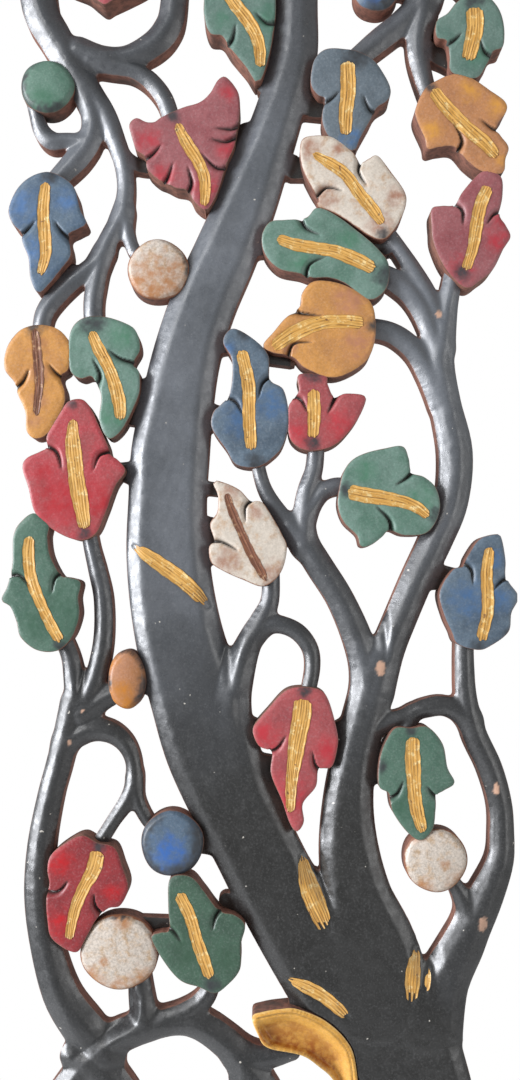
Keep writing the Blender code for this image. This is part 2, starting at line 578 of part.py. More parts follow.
def main():
    clear_scene()
    paints = make_paints()
    panel_collection = new_collection("tree_panel")
    pieces = new_collection("carved_pieces")
    cuts = new_collection("gouge_cuts")
    order = iter(range(1000))

    def depth():
        return OVERCUT + OVERCUT_STEP * next(order)

    for name, route in LIMBS.items():
        carve_strip(name, route, LIMB_FACETS, LIMB_EDGE_HEIGHT, limb_rise, depth(), pieces,
                    [paints["dark"], paints["wood"]])
    for name, route in WEBS.items():
        carve_strip(name, route, 1, WEB_HEIGHT, lambda half: 0.0, depth(), pieces, [paints["dark"], paints["wood"]])
    for name, (x, y, half_width, half_height, paint) in FRUIT.items():
        carve_fruit(name, x, y, half_width, half_height, depth(), pieces, [paints[paint], paints["wood"]])
    for name, (paint, outline, vein, notches) in LEAVES.items():
        carve_leaf(name, outline, depth(), pieces, [paints[paint], paints["wood"]])
        if vein:
            gouge(name + "_vein", at_height(vein, PLANK_THICKNESS), VEIN_WIDTH, VEIN_DEPTH, cuts, paints["gold"])
        for number, notch in enumerate(notches):
            gouge(f"{name}_notch_{number}", at_height(notch, PLANK_THICKNESS), NOTCH_WIDTH, NOTCH_DEPTH, cuts,
                  paints["dark"])
    for number, stroke in enumerate(TRUNK_STROKES):
        line = [(x, y, LIMB_EDGE_HEIGHT + share * LIMB_CROWN_LIMIT) for x, y, share in stroke]
        gouge(f"trunk_stroke_{number}", line, STROKE_WIDTH, STROKE_DEPTH, cuts, paints["gold"])
    carve_strip("crescent_hollow", CRESCENT_HOLLOW, LIMB_FACETS, PLANK_THICKNESS + OVERCUT_STEP,
                lambda half: -CRESCENT_HOLLOW_DEPTH, -PLANK_THICKNESS - OVERCUT, cuts, [paints["ochre"]])
    side = PANEL_HEIGHT
    top = (FIXING_Y - TOP_CUT) * UNIT
    foot = (FIXING_Y - BOTTOM_CUT) * UNIT
    waste_block("waste_back", (-side, 0.0, foot - side), (side, side, top + side), cuts, paints["wood"])
    waste_block("waste_top", (-side, -side, top), (side, side, top + side), cuts, paints["wood"])
    waste_block("waste_foot", (-side, -side, foot - side), (side, side, foot), cuts, paints["wood"])

    trunk = bpy.data.objects["trunk"]
    panel = bpy.data.objects.new("carved_panel", trunk.data)
    panel_collection.objects.link(panel)
    pieces.objects.unlink(trunk)
    bpy.data.objects.remove(trunk)
    add_boolean(panel, "join the carving", "UNION", pieces)
    add_boolean(panel, "cut veins, notches and ends", "DIFFERENCE", cuts)


main()
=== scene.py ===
import math
import bpy
import bmesh
import numpy as np
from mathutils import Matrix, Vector


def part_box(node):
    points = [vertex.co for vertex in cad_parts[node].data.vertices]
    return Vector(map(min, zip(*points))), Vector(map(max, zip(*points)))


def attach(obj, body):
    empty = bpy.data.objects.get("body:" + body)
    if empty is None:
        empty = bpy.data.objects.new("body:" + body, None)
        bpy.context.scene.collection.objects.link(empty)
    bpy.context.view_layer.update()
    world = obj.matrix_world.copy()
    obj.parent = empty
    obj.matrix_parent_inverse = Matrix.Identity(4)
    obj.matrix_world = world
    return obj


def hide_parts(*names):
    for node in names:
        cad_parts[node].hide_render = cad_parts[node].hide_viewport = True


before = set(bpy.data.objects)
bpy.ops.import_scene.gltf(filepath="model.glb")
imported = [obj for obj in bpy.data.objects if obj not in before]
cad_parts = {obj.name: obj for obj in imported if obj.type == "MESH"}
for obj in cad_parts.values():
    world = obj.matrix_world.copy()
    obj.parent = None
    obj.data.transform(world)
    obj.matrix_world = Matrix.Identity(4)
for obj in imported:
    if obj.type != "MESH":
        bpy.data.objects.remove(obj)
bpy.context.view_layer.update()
boxLow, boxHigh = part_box("carved_panel")
print("packed panel loaded")

# The panel is drawn full size: x to the right and y down, heights up from the flat back, all in millimetres
panel = {
    "topCut": -40,
    "footCut": 1100,
    "fixingX": 258,
    "fixingY": 166,
    "sideRoom": 0.1,
}
unit = (boxHigh.z - boxLow.z) / (panel["footCut"] - panel["topCut"])
leftEdge = panel["fixingX"] + boxLow.x / unit + panel["sideRoom"]
rightEdge = panel["fixingX"] + boxHigh.x / unit - panel["sideRoom"]


def onPanel(x, y, height):
    return Vector(((x - panel["fixingX"]) * unit, -height * unit, (panel["fixingY"] - y) * unit))


# distance past the cut ends
def pastEnds(y):
    return np.maximum(panel["topCut"] - y, y - panel["footCut"])


# a smooth line through the points, or a smooth ring
def smoothLine(points, steps, closed=False):
    pts = np.array(points, float)
    count = len(pts)
    rows = []
    for i in range(count if closed else count - 1):
        if closed:
            a, b, c, d = (pts[(i + k) % count] for k in (-1, 0, 1, 2))
        else:
            a, b, c, d = (pts[min(max(i + k, 0), count - 1)] for k in (-1, 0, 1, 2))
        for s in range(steps):
            t = s / steps
            rows.append(0.5 * (2 * b + (c - a) * t + (2 * a - 5 * b + 4 * c - d) * t * t
                               + (3 * b - a - 3 * c + d) * t ** 3))
    if not closed:
        rows.append(pts[-1])
    return np.array(rows)


# for each place: distance to the line, side of it, share along it, and the line's other columns there
def nearLine(x, y, line):
    best = np.full(x.shape, 1e9)
    side = np.zeros(x.shape)
    share = np.zeros(x.shape)
    extra = np.zeros((line.shape[1] - 2,) + x.shape)
    last = len(line) - 1
    for i in range(last):
        ax, ay = line[i, :2]
        dx, dy = line[i + 1, :2] - line[i, :2]
        long2 = dx * dx + dy * dy + 1e-9
        t = np.clip(((x - ax) * dx + (y - ay) * dy) / long2, 0, 1)
        ox = x - ax - t * dx
        oy = y - ay - t * dy
        far = ox * ox + oy * oy
        hit = far < best
        best = np.where(hit, far, best)
        side = np.where(hit, dx * oy - dy * ox, side)
        share = np.where(hit, (i + t) / last, share)
        for k in range(len(extra)):
            extra[k] = np.where(hit, line[i, 2 + k] + t * (line[i + 1, 2 + k] - line[i, 2 + k]), extra[k])
    return np.sqrt(best), np.sign(side), share, extra


# distance outside a closed outline, less than nothing inside it
def outsideOf(x, y, outline):
    ring = np.vstack([outline, outline[:1]])
    far = nearLine(x, y, ring)[0]
    inside = np.zeros(x.shape, bool)
    for (ax, ay), (bx, by) in zip(ring[:-1], ring[1:]):
        if ay != by:
            inside ^= ((ay > y) != (by > y)) & (x < (bx - ax) * (y - ay) / (by - ay) + ax)
    return np.where(inside, -far, far)


# the same for a plate that also ends where the panel is cut
def outsideRing(ring):
    return lambda x, y: np.maximum(outsideOf(x, y, ring), pastEnds(y))


# the places that a line of some width can reach
def around(x, y, line, room):
    reach = line[:, 2].max() / 2 + room
    return ((x > line[:, 0].min() - reach) & (x < line[:, 0].max() + reach)
            & (y > line[:, 1].min() - reach) & (y < line[:, 1].max() + reach))


def blendLow(a, b, width):
    near = np.clip(1 - np.abs(a - b) / width, 0, None)
    return np.minimum(a, b) - near * near * width / 4


def blendHigh(a, b, width):
    return -blendLow(-a, -b, width)


def fade(value, low, high):
    t = np.clip((value - low) / (high - low), 0, 1)
    return t * t * (3 - 2 * t)


# how far a rounded rim has dropped at this distance inside it
def rimDrop(inside, radius):
    short = np.clip(radius - inside, 0, radius)
    return radius - np.sqrt(radius * radius - short * short)


# slow hand-made unevenness, from -1 to 1: four crossing waves, each turned and finer than the last
def wander(x, y, size, seed):
    total = np.zeros(x.shape)
    for k in range(4):
        angle = seed * 1.7 + k * 2.4
        u = (x * math.cos(angle) + y * math.sin(angle)) / size * (1 + 0.37 * k)
        v = (y * math.cos(angle) - x * math.sin(angle)) / size * (1 + 0.29 * k)
        total += np.sin(u * 6.3 + seed + 1.3 * np.sin(v * 5.1 + k)) / (1 + 0.6 * k)
    return total / 2.3


# gold strokes: closed strips of close flutes, laid in shallow cuts
stroke = {
    "steps": 12,
    "strandWidth": 2.9,
    "columns": 4,  # to a strand
    "step": 1.2,
    "sink": 0.75,
    "flute": 0.6,
    "thickness": 1.6,
    "ragged": 1.8,
    "roundEnd": 3.5,
    "edgeWave": 0.35,
    "edgeRipple": 0.2,
    "drift": 0.3,
    "darkEnd": 0.05,
    "highest": 31.95,
}
strokeMarks = ("flute", "along", "across")


# each strand starts and stops where the gouge did, and the edges waver
def drawStroke(line, strands, across, along, phase, ragged):
    reach = np.concatenate([[0], np.cumsum(np.hypot(*np.diff(line[:, :2], axis=0).T))])
    lane = (across + 1) / 2 * strands
    strand = np.minimum(np.floor(lane), strands - 1)
    curve = stroke["roundEnd"] * np.abs(across) ** 2.5
    first = curve + ragged * 0.6 * (0.5 + 0.5 * np.sin(strand * 2.6 + phase))
    last = curve + ragged * (0.5 + 0.5 * np.sin(strand * 3.4 + phase * 1.7))
    place = first + along * (reach[-1] - first - last)
    x, y, width = (np.interp(place, reach, column) for column in line.T)
    dx, dy = (np.interp(place + 1, reach, column) - np.interp(place - 1, reach, column)
              for column in line.T[:2])
    size = np.hypot(dx, dy) + 1e-6
    wave = (stroke["edgeWave"] * np.sin(place * 0.13 + phase + across)
            + stroke["edgeRipple"] * np.sin(place * 0.47 + phase))
    half = width / 2 + wave * np.abs(across)
    return x - dy / size * across * half, y + dx / size * across * half, place, half, lane


# height of the flutes over the cut, and how dark the furrows between them are
def fluteStroke(across, along, place, lane, strands, phase, seed, ragged):
    drift = stroke["drift"] * np.sin(place * 0.07 + phase) * (1 - np.abs(across))
    groove = np.abs(np.sin((lane + drift) * math.pi)) ** 0.7
    deep = 0.5 + 0.5 * np.sin(np.round(lane + drift) * 2.9 + phase)
    edge = np.minimum(lane, strands - lane)
    broken = 0.3 + 0.7 * fade(wander(place * 0.8, across * 9 + phase, 22, seed + 5), -0.5, 0.4)
    nearEnd = fade(along, 1 - stroke["darkEnd"] * ragged, 1.0)
    dark = (1 - fade(groove, 0.2, 0.9)) * (0.35 + 0.65 * deep) * np.where(edge > 0.4, broken, 0.75)
    return (stroke["sink"] + stroke["flute"] * (groove * (0.45 + 0.55 * deep) - 0.6),
            np.maximum(dark, nearEnd * (1 - fade(groove, 0.35, 0.95))))


def layStroke(bm, points, carve, outside, seed, ragged):
    line = smoothLine(points, stroke["steps"])
    long = np.hypot(*np.diff(line[:, :2], axis=0).T).sum()
    strands = max(2, round(line[:, 2].max() / stroke["strandWidth"]))
    for label in strokeMarks:
        if bm.verts.layers.float.get(label) is None:
            bm.verts.layers.float.new(label)
    layers = [bm.verts.layers.float.get(label) for label in strokeMarks]
    grid = bmesh.ops.create_grid(bm, x_segments=strands * stroke["columns"],
                                 y_segments=max(4, round(long / stroke["step"])), size=1)["verts"]
    across = np.array([v.co.x for v in grid])
    along = np.array([(v.co.y + 1) / 2 for v in grid])
    phase = seed * 2.3 + line[0, 0] * 0.37
    x, y, place, half, lane = drawStroke(line, strands, across, along, phase, ragged)
    rise, dark = fluteStroke(across, along, place, lane, strands, phase, seed, ragged)
    height = np.minimum(carve(x, y, outside(x, y))[0] + rise, stroke["highest"])
    for i, v in enumerate(grid):
        for layer, value in zip(layers, (dark[i], place[i] * unit, across[i] * half[i] * unit)):
            v[layer] = value
        v.co = onPanel(x[i], y[i], height[i])
    faces = list({f for v in grid for f in v.link_faces})
    for f in faces:
        f.smooth = True
    rim = [e for f in faces for e in f.edges if e.is_boundary]
    made = bmesh.ops.extrude_edge_only(bm, edges=rim)["geom"]
    for v in (g for g in made if isinstance(g, bmesh.types.BMVert)):
        v.co.y += stroke["thickness"] * unit
    walls = [g for g in made if isinstance(g, bmesh.types.BMFace)]
    base = [e for f in walls for e in f.edges if e.is_boundary]
    under = bmesh.ops.triangle_fill(bm, edges=base, use_beauty=True, use_dissolve=False)["geom"]
    whole = faces + walls + [g for g in under if isinstance(g, bmesh.types.BMFace)]
    bmesh.ops.recalc_face_normals(bm, faces=whole)
    for f in whole:
        f.material_index = 2
    for e in rim:
        e.smooth = False


# the drawn area of an outline, with some room, kept to the panel
def areaOf(ring, room=3):
    (left, top), (right, foot) = ring.min(axis=0) - room, ring.max(axis=0) + room
    return left, right, max(top, panel["topCut"] - 1), min(foot, panel["footCut"] + 1)


# a plate is a fine grid cut to its outline and carved to its heights, with sawn sides and a flat back
plate = {
    "overhang": 0.42,  # of a cell, past the outline
    "probe": 0.2,
    "mergeWithin": 0.08,
    "backBlock": 0.03,
    "flat": 0.01,
}


# the ragged edge of the cut grid is drawn onto the outline
def cutGrid(area, cell, outside):
    left, right, top, foot = area
    bm = bmesh.new()
    bmesh.ops.create_grid(bm, x_segments=max(2, math.ceil((right - left) / cell)),
                          y_segments=max(2, math.ceil((foot - top) / cell)), size=1)
    spots = np.array([(v.co.x, v.co.y) for v in bm.verts])
    x = left + (spots[:, 0] + 1) / 2 * (right - left)
    y = top + (1 - spots[:, 1]) / 2 * (foot - top)
    out = outside(x, y)
    for v, vx, vy in zip(bm.verts, x, y):
        v.co = (vx, vy, 0)
    gone = [v for v, o in zip(bm.verts, out) if o > plate["overhang"] * cell]
    bmesh.ops.delete(bm, geom=gone, context="VERTS")
    for turn in range(3):
        poor = [v for v in bm.verts if len(v.link_faces) < 2]
        if poor:
            bmesh.ops.delete(bm, geom=poor, context="VERTS")
    rim = [v for v in bm.verts if v.is_boundary]
    rx = np.array([v.co.x for v in rim])
    ry = np.array([v.co.y for v in rim])
    probe = plate["probe"]
    for turn in range(4):
        here = outside(rx, ry)
        gx = (outside(rx + probe, ry) - outside(rx - probe, ry)) / (2 * probe)
        gy = (outside(rx, ry + probe) - outside(rx, ry - probe)) / (2 * probe)
        steep = np.maximum(gx * gx + gy * gy, 0.25)
        rx = rx - here * gx / steep
        ry = ry - here * gy / steep
    for v, vx, vy in zip(rim, rx, ry):
        v.co = (vx, vy, 0)
    beside = [v for v in bm.verts
              if not v.is_boundary and any(e.other_vert(v).is_boundary for e in v.link_edges)]
    bmesh.ops.smooth_vert(bm, verts=beside, factor=0.5, use_axis_x=True, use_axis_y=True)
    bmesh.ops.remove_doubles(bm, verts=bm.verts, dist=plate["mergeWithin"])
    bmesh.ops.delete(bm, geom=[e for e in bm.edges if not e.link_faces], context="EDGES")
    return bm


# the front is lifted off a flat back, and the sides between them are sawn wood
def closeBack(bm, back):
    front = list(bm.faces)
    made = bmesh.ops.extrude_face_region(bm, geom=front, use_keep_orig=True)["geom"]
    raised = {g for g in made if isinstance(g, bmesh.types.BMFace)}
    behind = {f for f in front if f.is_valid}
    for v in {v for f in behind for v in f.verts}:
        v.co.y = -back * unit
    for face in bm.faces:
        if face not in raised:
            face.material_index = 1
            face.smooth = face not in behind
    for e in bm.edges:
        if any(len({f in group for f in e.link_faces}) == 2 for group in (raised, behind)):
            e.smooth = False
    # the flat back needs no fine grid: it is cleared block by block
    bm.normal_update()
    size = plate["backBlock"]
    block = {f: (math.floor(f.calc_center_median().x / size), math.floor(f.calc_center_median().z / size))
             for f in behind}
    inner = [e for e in bm.edges
             if len({block.get(f) for f in e.link_faces}) == 1 and e.link_faces[0] in behind]
    innerVerts = [v for v in bm.verts if all(f in behind for f in v.link_faces)]
    bmesh.ops.dissolve_limit(bm, angle_limit=plate["flat"], verts=innerVerts, edges=inner)
    bmesh.ops.triangulate(bm, faces=[f for f in bm.faces if len(f.verts) > 4])
    bmesh.ops.recalc_face_normals(bm, faces=bm.faces)
    if bm.calc_volume(signed=True) < 0:
        bmesh.ops.reverse_faces(bm, faces=bm.faces)


def carvePlate(name, area, cell, outside, carve, back, materials, strokes=(), ragged=stroke["ragged"]):
    bm = cutGrid(area, cell, outside)
    x = np.array([v.co.x for v in bm.verts])
    y = np.array([v.co.y for v in bm.verts])
    height, marks = carve(x, y, outside(x, y))
    for label, values in marks.items():
        layer = bm.verts.layers.float.new(label)
        for v, value in zip(bm.verts, values):
            v[layer] = value
    for v, vx, vy, h in zip(bm.verts, x, y, height):
        v.co = onPanel(min(max(vx, leftEdge), rightEdge), vy, h)
    for face in bm.faces:
        face.smooth = True
    closeBack(bm, back)
    for number, line in enumerate(strokes):
        layStroke(bm, line, carve, outside, number + 1, ragged)
    mesh = bpy.data.meshes.new(name)
    bm.to_mesh(mesh)
    bm.free()
    for material in materials:
        mesh.materials.append(material)
    piece = bpy.data.objects.new(name, mesh)
    bpy.context.scene.collection.objects.link(piece)
    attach(piece, "root")
    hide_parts("carved_panel")
    return piece


# paint and wood: small makers of shader nodes first
def node(tree, kind, **settings):
    made = tree.nodes.new(kind)
    for key, value in settings.items():
        setattr(made, key, value)
    return made


# a socket takes a link or a value
def feed(tree, socket, value):
    if hasattr(value, "is_output"):
        tree.links.new(value, socket)
    else:
        socket.default_value = value


def noiseNode(tree, vector, scale, detail=3.0, rough=0.55):
    made = node(tree, "ShaderNodeTexNoise")
    for key, value in zip(("Vector", "Scale", "Detail", "Roughness"), (vector, scale, detail, rough)):
        feed(tree, made.inputs[key], value)
    return made.outputs["Fac"]


def spread(tree, value, low, high, outLow=0.0, outHigh=1.0):
    made = node(tree, "ShaderNodeMapRange", interpolation_type="SMOOTHSTEP")
    keys = ("Value", "From Min", "From Max", "To Min", "To Max")
    for key, part in zip(keys, (value, low, high, outLow, outHigh)):
        feed(tree, made.inputs[key], part)
    return made.outputs["Result"]


def sums(tree, operation, first, second):
    made = node(tree, "ShaderNodeMath", operation=operation)
    feed(tree, made.inputs[0], first)
    feed(tree, made.inputs[1], second)
    return made.outputs[0]


# the Mix node's colour sockets are 6 and 7, and its colour comes out at 2
def mixed(tree, share, first, second, blend="MIX"):
    made = node(tree, "ShaderNodeMix", data_type="RGBA", blend_type=blend)
    for number, value in zip((0, 6, 7), (share, first, second)):
        feed(tree, made.inputs[number], value)
    return made.outputs[2]


def newGroup(name, inputs, outputs):
    group = bpy.data.node_groups.new(name, "ShaderNodeTree")
    for label, kind, value in inputs:
        made = group.interface.new_socket(name=label, in_out="INPUT", socket_type=kind)
        made.default_value = value
    for label, kind in outputs:
        group.interface.new_socket(name=label, in_out="OUTPUT", socket_type=kind)
    return group, group.nodes.new("NodeGroupInput").outputs, group.nodes.new("NodeGroupOutput").inputs


# hand-laid paint: two tones in soft clouds, small brush mottle and pale specks
def makeMottle():
    group, given, result = newGroup("handPaint", [
        ("Vector", "NodeSocketVector", (0, 0, 0)),
        ("Tone", "NodeSocketColor", (0.5, 0.5, 0.5, 1)),
        ("Shade", "NodeSocketColor", (0.3, 0.3, 0.3, 1)),
        ("Cloud Scale", "NodeSocketFloat", 30.0),
        ("Cloud Low", "NodeSocketFloat", 0.40),
        ("Cloud High", "NodeSocketFloat", 0.62),
        ("Fleck", "NodeSocketFloat", 0.12),
    ], [("Color", "NodeSocketColor"), ("Height", "NodeSocketFloat")])
    grey = (0.25, 0.25, 0.25, 1)
    cloud = noiseNode(group, given["Vector"], given["Cloud Scale"], 4, 0.6)
    clouded = spread(group, cloud, given["Cloud Low"], given["Cloud High"])
    base = mixed(group, clouded, given["Tone"], given["Shade"])
    fleck = noiseNode(group, given["Vector"], 420, 3, 0.7)
    fleckShare = sums(group, "MULTIPLY", spread(group, fleck, 0.35, 0.70), given["Fleck"])
    speck = noiseNode(group, given["Vector"], 520, 2, 0.6)
    speckShare = sums(group, "MULTIPLY", spread(group, speck, 0.45, 0.80), given["Fleck"])
    dark = mixed(group, fleckShare, base, grey, "MULTIPLY")
    feed(group, result["Color"], mixed(group, speckShare, dark, grey, "SCREEN"))
    feed(group, result["Height"], sums(group, "ADD", cloud, sums(group, "MULTIPLY", fleck, 0.35)))
    return group


# paint rubbed off near an edge, and on the crescent a painted highlight along its rims: the mark holds
# millimetres from the edge
def makeEdgeRubAndLight():
    group, given, result = newGroup("edgeRubAndLight", [
        ("Vector", "NodeSocketVector", (0, 0, 0)),
        ("Distance", "NodeSocketFloat", 10.0),
        ("Width", "NodeSocketFloat", 1.6),
        ("Patchiness", "NodeSocketFloat", 2.2),
    ], [("Mask", "NodeSocketFloat")])
    rough = noiseNode(group, given["Vector"], 85, 4, 0.65)
    ragged = sums(group, "MULTIPLY", sums(group, "SUBTRACT", rough, 0.5), given["Patchiness"])
    reach = sums(group, "MULTIPLY", given["Width"], sums(group, "ADD", ragged, 1.0))
    inner = sums(group, "SUBTRACT", reach, given["Distance"])
    feed(group, result["Mask"], spread(group, inner, -0.5, 0.7))
    return group


mottleGroup = makeMottle()
rubGroup = makeEdgeRubAndLight()


def useGroup(tree, group, **values):
    made = tree.nodes.new("ShaderNodeGroup")
    made.node_tree = group
    for key, value in values.items():
        feed(tree, made.inputs[key.replace("_", " ")], value)
    return made


def rgb(code):
    values = [int(code[i:i + 2], 16) / 255 for i in (1, 3, 5)]
    return tuple(v / 12.92 if v <= 0.04045 else ((v + 0.055) / 1.055) ** 2.4 for v in values) + (1.0,)


def startMaterial(name, roughness):
    material = bpy.data.materials.new(name)
    material.use_nodes = True
    tree = material.node_tree
    shader = tree.nodes["Principled BSDF"]
    shader.inputs["Roughness"].default_value = roughness
    return material, tree, shader.inputs, tree.nodes.new("ShaderNodeTexCoord").outputs["Object"]


# a mark that came with the carving
def mark(tree, name):
    return node(tree, "ShaderNodeAttribute", attribute_name=name).outputs["Fac"]


def addBump(tree, sockets, height, strength, distance):
    bump = node(tree, "ShaderNodeBump")
    for key, value in zip(("Strength", "Distance", "Height"), (strength, distance, height)):
        feed(tree, bump.inputs[key], value)
    feed(tree, sockets["Normal"], bump.outputs["Normal"])


# leaf and fruit paint: what a paint doesn't give itself it takes from here
usualPaint = {
    "cloud": 32.0,
    "low": 0.42,
    "high": 0.64,
    "fleck": 0.22,
    "rub": "#7a5a4a",
    "rubWidth": 0.4,
    "smudge": "#35373a",
    # near black in the carved cuts and grooves: painted shade
    "cut": "#26221f",
    "roughness": 0.42,
    "patchiness": 4.2,
}


def makePaint(name, tone, shade, hazeAndShade, **own):
    paint = {**usualPaint, **own}
    material, tree, sockets, coords = startMaterial(name, paint["roughness"])
    mottle = useGroup(tree, mottleGroup, Vector=coords, Tone=rgb(tone), Shade=rgb(shade),
                      Cloud_Scale=paint["cloud"], Cloud_Low=paint["low"], Cloud_High=paint["high"],
                      Fleck=paint["fleck"]).outputs
    broken = spread(tree, noiseNode(tree, coords, 95, 4, 0.65), 0.34, 0.64, 0.35, 1.0)
    # second colour in soft spots; on the crescent it is painted shade in the lower scoop
    colour = mixed(tree, sums(tree, "MULTIPLY", mark(tree, "hazeAndShade"), broken), mottle["Color"], rgb(hazeAndShade))
    smoky = spread(tree, noiseNode(tree, coords, 130, 3, 0.6), 0.3, 0.62, 0.6, 0.95)
    colour = mixed(tree, sums(tree, "MULTIPLY", mark(tree, "smudge"), smoky), colour, rgb(paint["smudge"]))
    rubbed = useGroup(tree, rubGroup, Vector=coords, Distance=mark(tree, "rim"), Width=paint["rubWidth"],
                      Patchiness=paint["patchiness"])
    # rubbed edges; on the crescent this colour is a painted highlight along its rims
    colour = mixed(tree, rubbed.outputs["Mask"], colour, rgb(paint["rub"]))
    # painted shade in the cuts
    feed(tree, sockets["Base Color"], mixed(tree, mark(tree, "cut"), colour, rgb(paint["cut"])))
    addBump(tree, sockets, mottle["Height"], 0.30, 0.0006)
    return material


# the tree's grey paint, darker towards the foot, with painted shade darkening the top of the trunk
charcoal = {
    "tone": "#64686e",
    "shade": "#505459",
    "darkTone": "#20201f",
    "darkShade": "#161615",
    # near black on the low webs between parts: painted shade
    "webShade": "#22201e",
    "dots": "#b9b4ab",
    "rub": "#6b4738",
    "bare": "#c19a82",
    "index": 1.58,
    "coat": 0.5,
    "coatRoughness": 0.36,
    "usual": 0.34,  # roughness
    "smoothest": 0.20,
    "roughest": 0.46,
    "rubWidth": 0.45,
    "patchiness": 3.6,
}


def makeCharcoal():
    material, tree, sockets, coords = startMaterial("charcoalPaint", charcoal["usual"])
    upper = useGroup(tree, mottleGroup, Vector=coords, Tone=rgb(charcoal["tone"]),
                     Shade=rgb(charcoal["shade"]), Cloud_Scale=11.0, Cloud_Low=0.36, Cloud_High=0.68,
                     Fleck=0.12).outputs
    lower = useGroup(tree, mottleGroup, Vector=coords, Tone=rgb(charcoal["darkTone"]),
                     Shade=rgb(charcoal["darkShade"]), Cloud_Scale=16.0, Cloud_Low=0.38, Cloud_High=0.66,
                     Fleck=0.14).outputs
    # darker towards the foot, and painted shade darkening the top
    colour = mixed(tree, mark(tree, "darkening"), upper["Color"], lower["Color"])
    # painted shade: the low webs between limbs and leaves turn near black
    colour = mixed(tree, mark(tree, "webShade"), colour, rgb(charcoal["webShade"]))
    dots = spread(tree, noiseNode(tree, coords, 170, 1.5, 0.5), 0.755, 0.79)
    colour = mixed(tree, dots, colour, rgb(charcoal["dots"]))
    rubbed = useGroup(tree, rubGroup, Vector=coords, Distance=mark(tree, "rim"), Width=charcoal["rubWidth"],
                      Patchiness=charcoal["patchiness"])
    colour = mixed(tree, rubbed.outputs["Mask"], colour, rgb(charcoal["rub"]))
    feed(tree, sockets["Base Color"], mixed(tree, mark(tree, "bare"), colour, rgb(charcoal["bare"])))
    for key, value in zip(("IOR", "Coat Weight", "Coat Roughness"), ("index", "coat", "coatRoughness")):
        feed(tree, sockets[key], charcoal[value])
    sheen = noiseNode(tree, coords, 80, 5, 0.7)
    feed(tree, sockets["Roughness"],
         spread(tree, sheen, 0.32, 0.68, charcoal["smoothest"], charcoal["roughest"]))
    grit = sums(tree, "MULTIPLY", noiseNode(tree, coords, 260, 3, 0.6), 0.35)
    addBump(tree, sockets, sums(tree, "ADD", upper["Height"], grit), 0.36, 0.0008)
    return material


sawn = {
    "tone": "#8b5d4d",
    "shade": "#634237",
    "stain": "#463a34",
    "grain": (30, 30, 5),
    "roughness": 0.72,
}


def makeSawnWood():
    material, tree, sockets, coords = startMaterial("sawnWood", sawn["roughness"])
    grain = node(tree, "ShaderNodeMapping")
    feed(tree, grain.inputs["Scale"], sawn["grain"])
    feed(tree, grain.inputs["Vector"], coords)
    streak = noiseNode(tree, grain.outputs["Vector"], 6, 5, 0.65)
    stain = noiseNode(tree, coords, 26, 4, 0.6)
    colour = mixed(tree, spread(tree, streak, 0.35, 0.68), rgb(sawn["tone"]), rgb(sawn["shade"]))
    stained = mixed(tree, spread(tree, stain, 0.50, 0.76), colour, rgb(sawn["stain"]))
    feed(tree, sockets["Base Color"], stained)
    addBump(tree, sockets, streak, 0.5, 0.0008)
    return material


# fluted strokes: hair lines along them, rubbed highlights, dark furrows and chips
flutes = {
    "lengthwise": 45.0,
    "crosswise": 900.0,
    "chip": "#6d4a35",
    "roughness": 0.42,
}


def makeFluted(name, tone, shade, light, line):
    material, tree, sockets, coords = startMaterial(name, flutes["roughness"])
    drawn = node(tree, "ShaderNodeCombineXYZ")
    feed(tree, drawn.inputs["X"], sums(tree, "MULTIPLY", mark(tree, "along"), flutes["lengthwise"]))
    feed(tree, drawn.inputs["Y"], sums(tree, "MULTIPLY", mark(tree, "across"), flutes["crosswise"]))
    hair = noiseNode(tree, drawn.outputs["Vector"], 1.0, 3, 0.6)
    colour = mixed(tree, spread(tree, hair, 0.38, 0.62), rgb(tone), rgb(shade))
    worn = spread(tree, noiseNode(tree, coords, 130, 4, 0.7), 0.52, 0.68, 0.0, 0.8)
    colour = mixed(tree, worn, colour, rgb(light))
    colour = mixed(tree, mark(tree, "flute"), colour, rgb(line))
    chips = spread(tree, noiseNode(tree, coords, 240, 2, 0.5), 0.68, 0.74, 0.0, 0.8)
    feed(tree, sockets["Base Color"], mixed(tree, chips, colour, rgb(flutes["chip"])))
    addBump(tree, sockets, hair, 0.3, 0.0005)
    return material


charcoalPaint = makeCharcoal()
sawnWood = makeSawnWood()
gold = makeFluted("goldPaint", "#dcae62", "#c38f41", "#efd79c", "#6f4720")
veinBrown = makeFluted("veinBrown", "#8a5a40", "#6f4838", "#c8a27c", "#4e342a")
print("paints made")

# the curled crescent at the foot: a scoop between a raised top rim and a thin lower one
crescent = {
    "cell": 1.2,
    "face": 31.5,
    "lowest": 6,
    "highest": 31.9,
    "rimRadius": 2.0,
    "hollowDepth": 9.0,
    "topRim": 4.0,
    "lowerRim": 1.6,
    "grooveIn": 6.5,
    "grooveDepth": 1.2,
    "grooveShade": 0.45,
    "uneven": 0.2,
    "back": 0.4,
}
crescentOutline = [(252, 1018), (262, 1013), (280, 1010), (297, 1010), (324, 1021), (346, 1041),
    (356, 1066), (360, 1130), (348, 1130), (336, 1086), (318, 1067), (300, 1056), (268, 1049), (258, 1036)]
upperArc = smoothLine([(250, 1014), (280, 1008), (300, 1009), (326, 1021), (348, 1041), (358, 1066),
    (362, 1130)], steps=8)
lowerArc = smoothLine([(262, 1046), (268, 1050), (300, 1057), (318, 1068), (336, 1087), (347, 1130)],
    steps=8)
crossLine = smoothLine([(258, 1020), (263, 1032), (272, 1046)], steps=8)
crescentRing = smoothLine(crescentOutline, steps=7, closed=True)


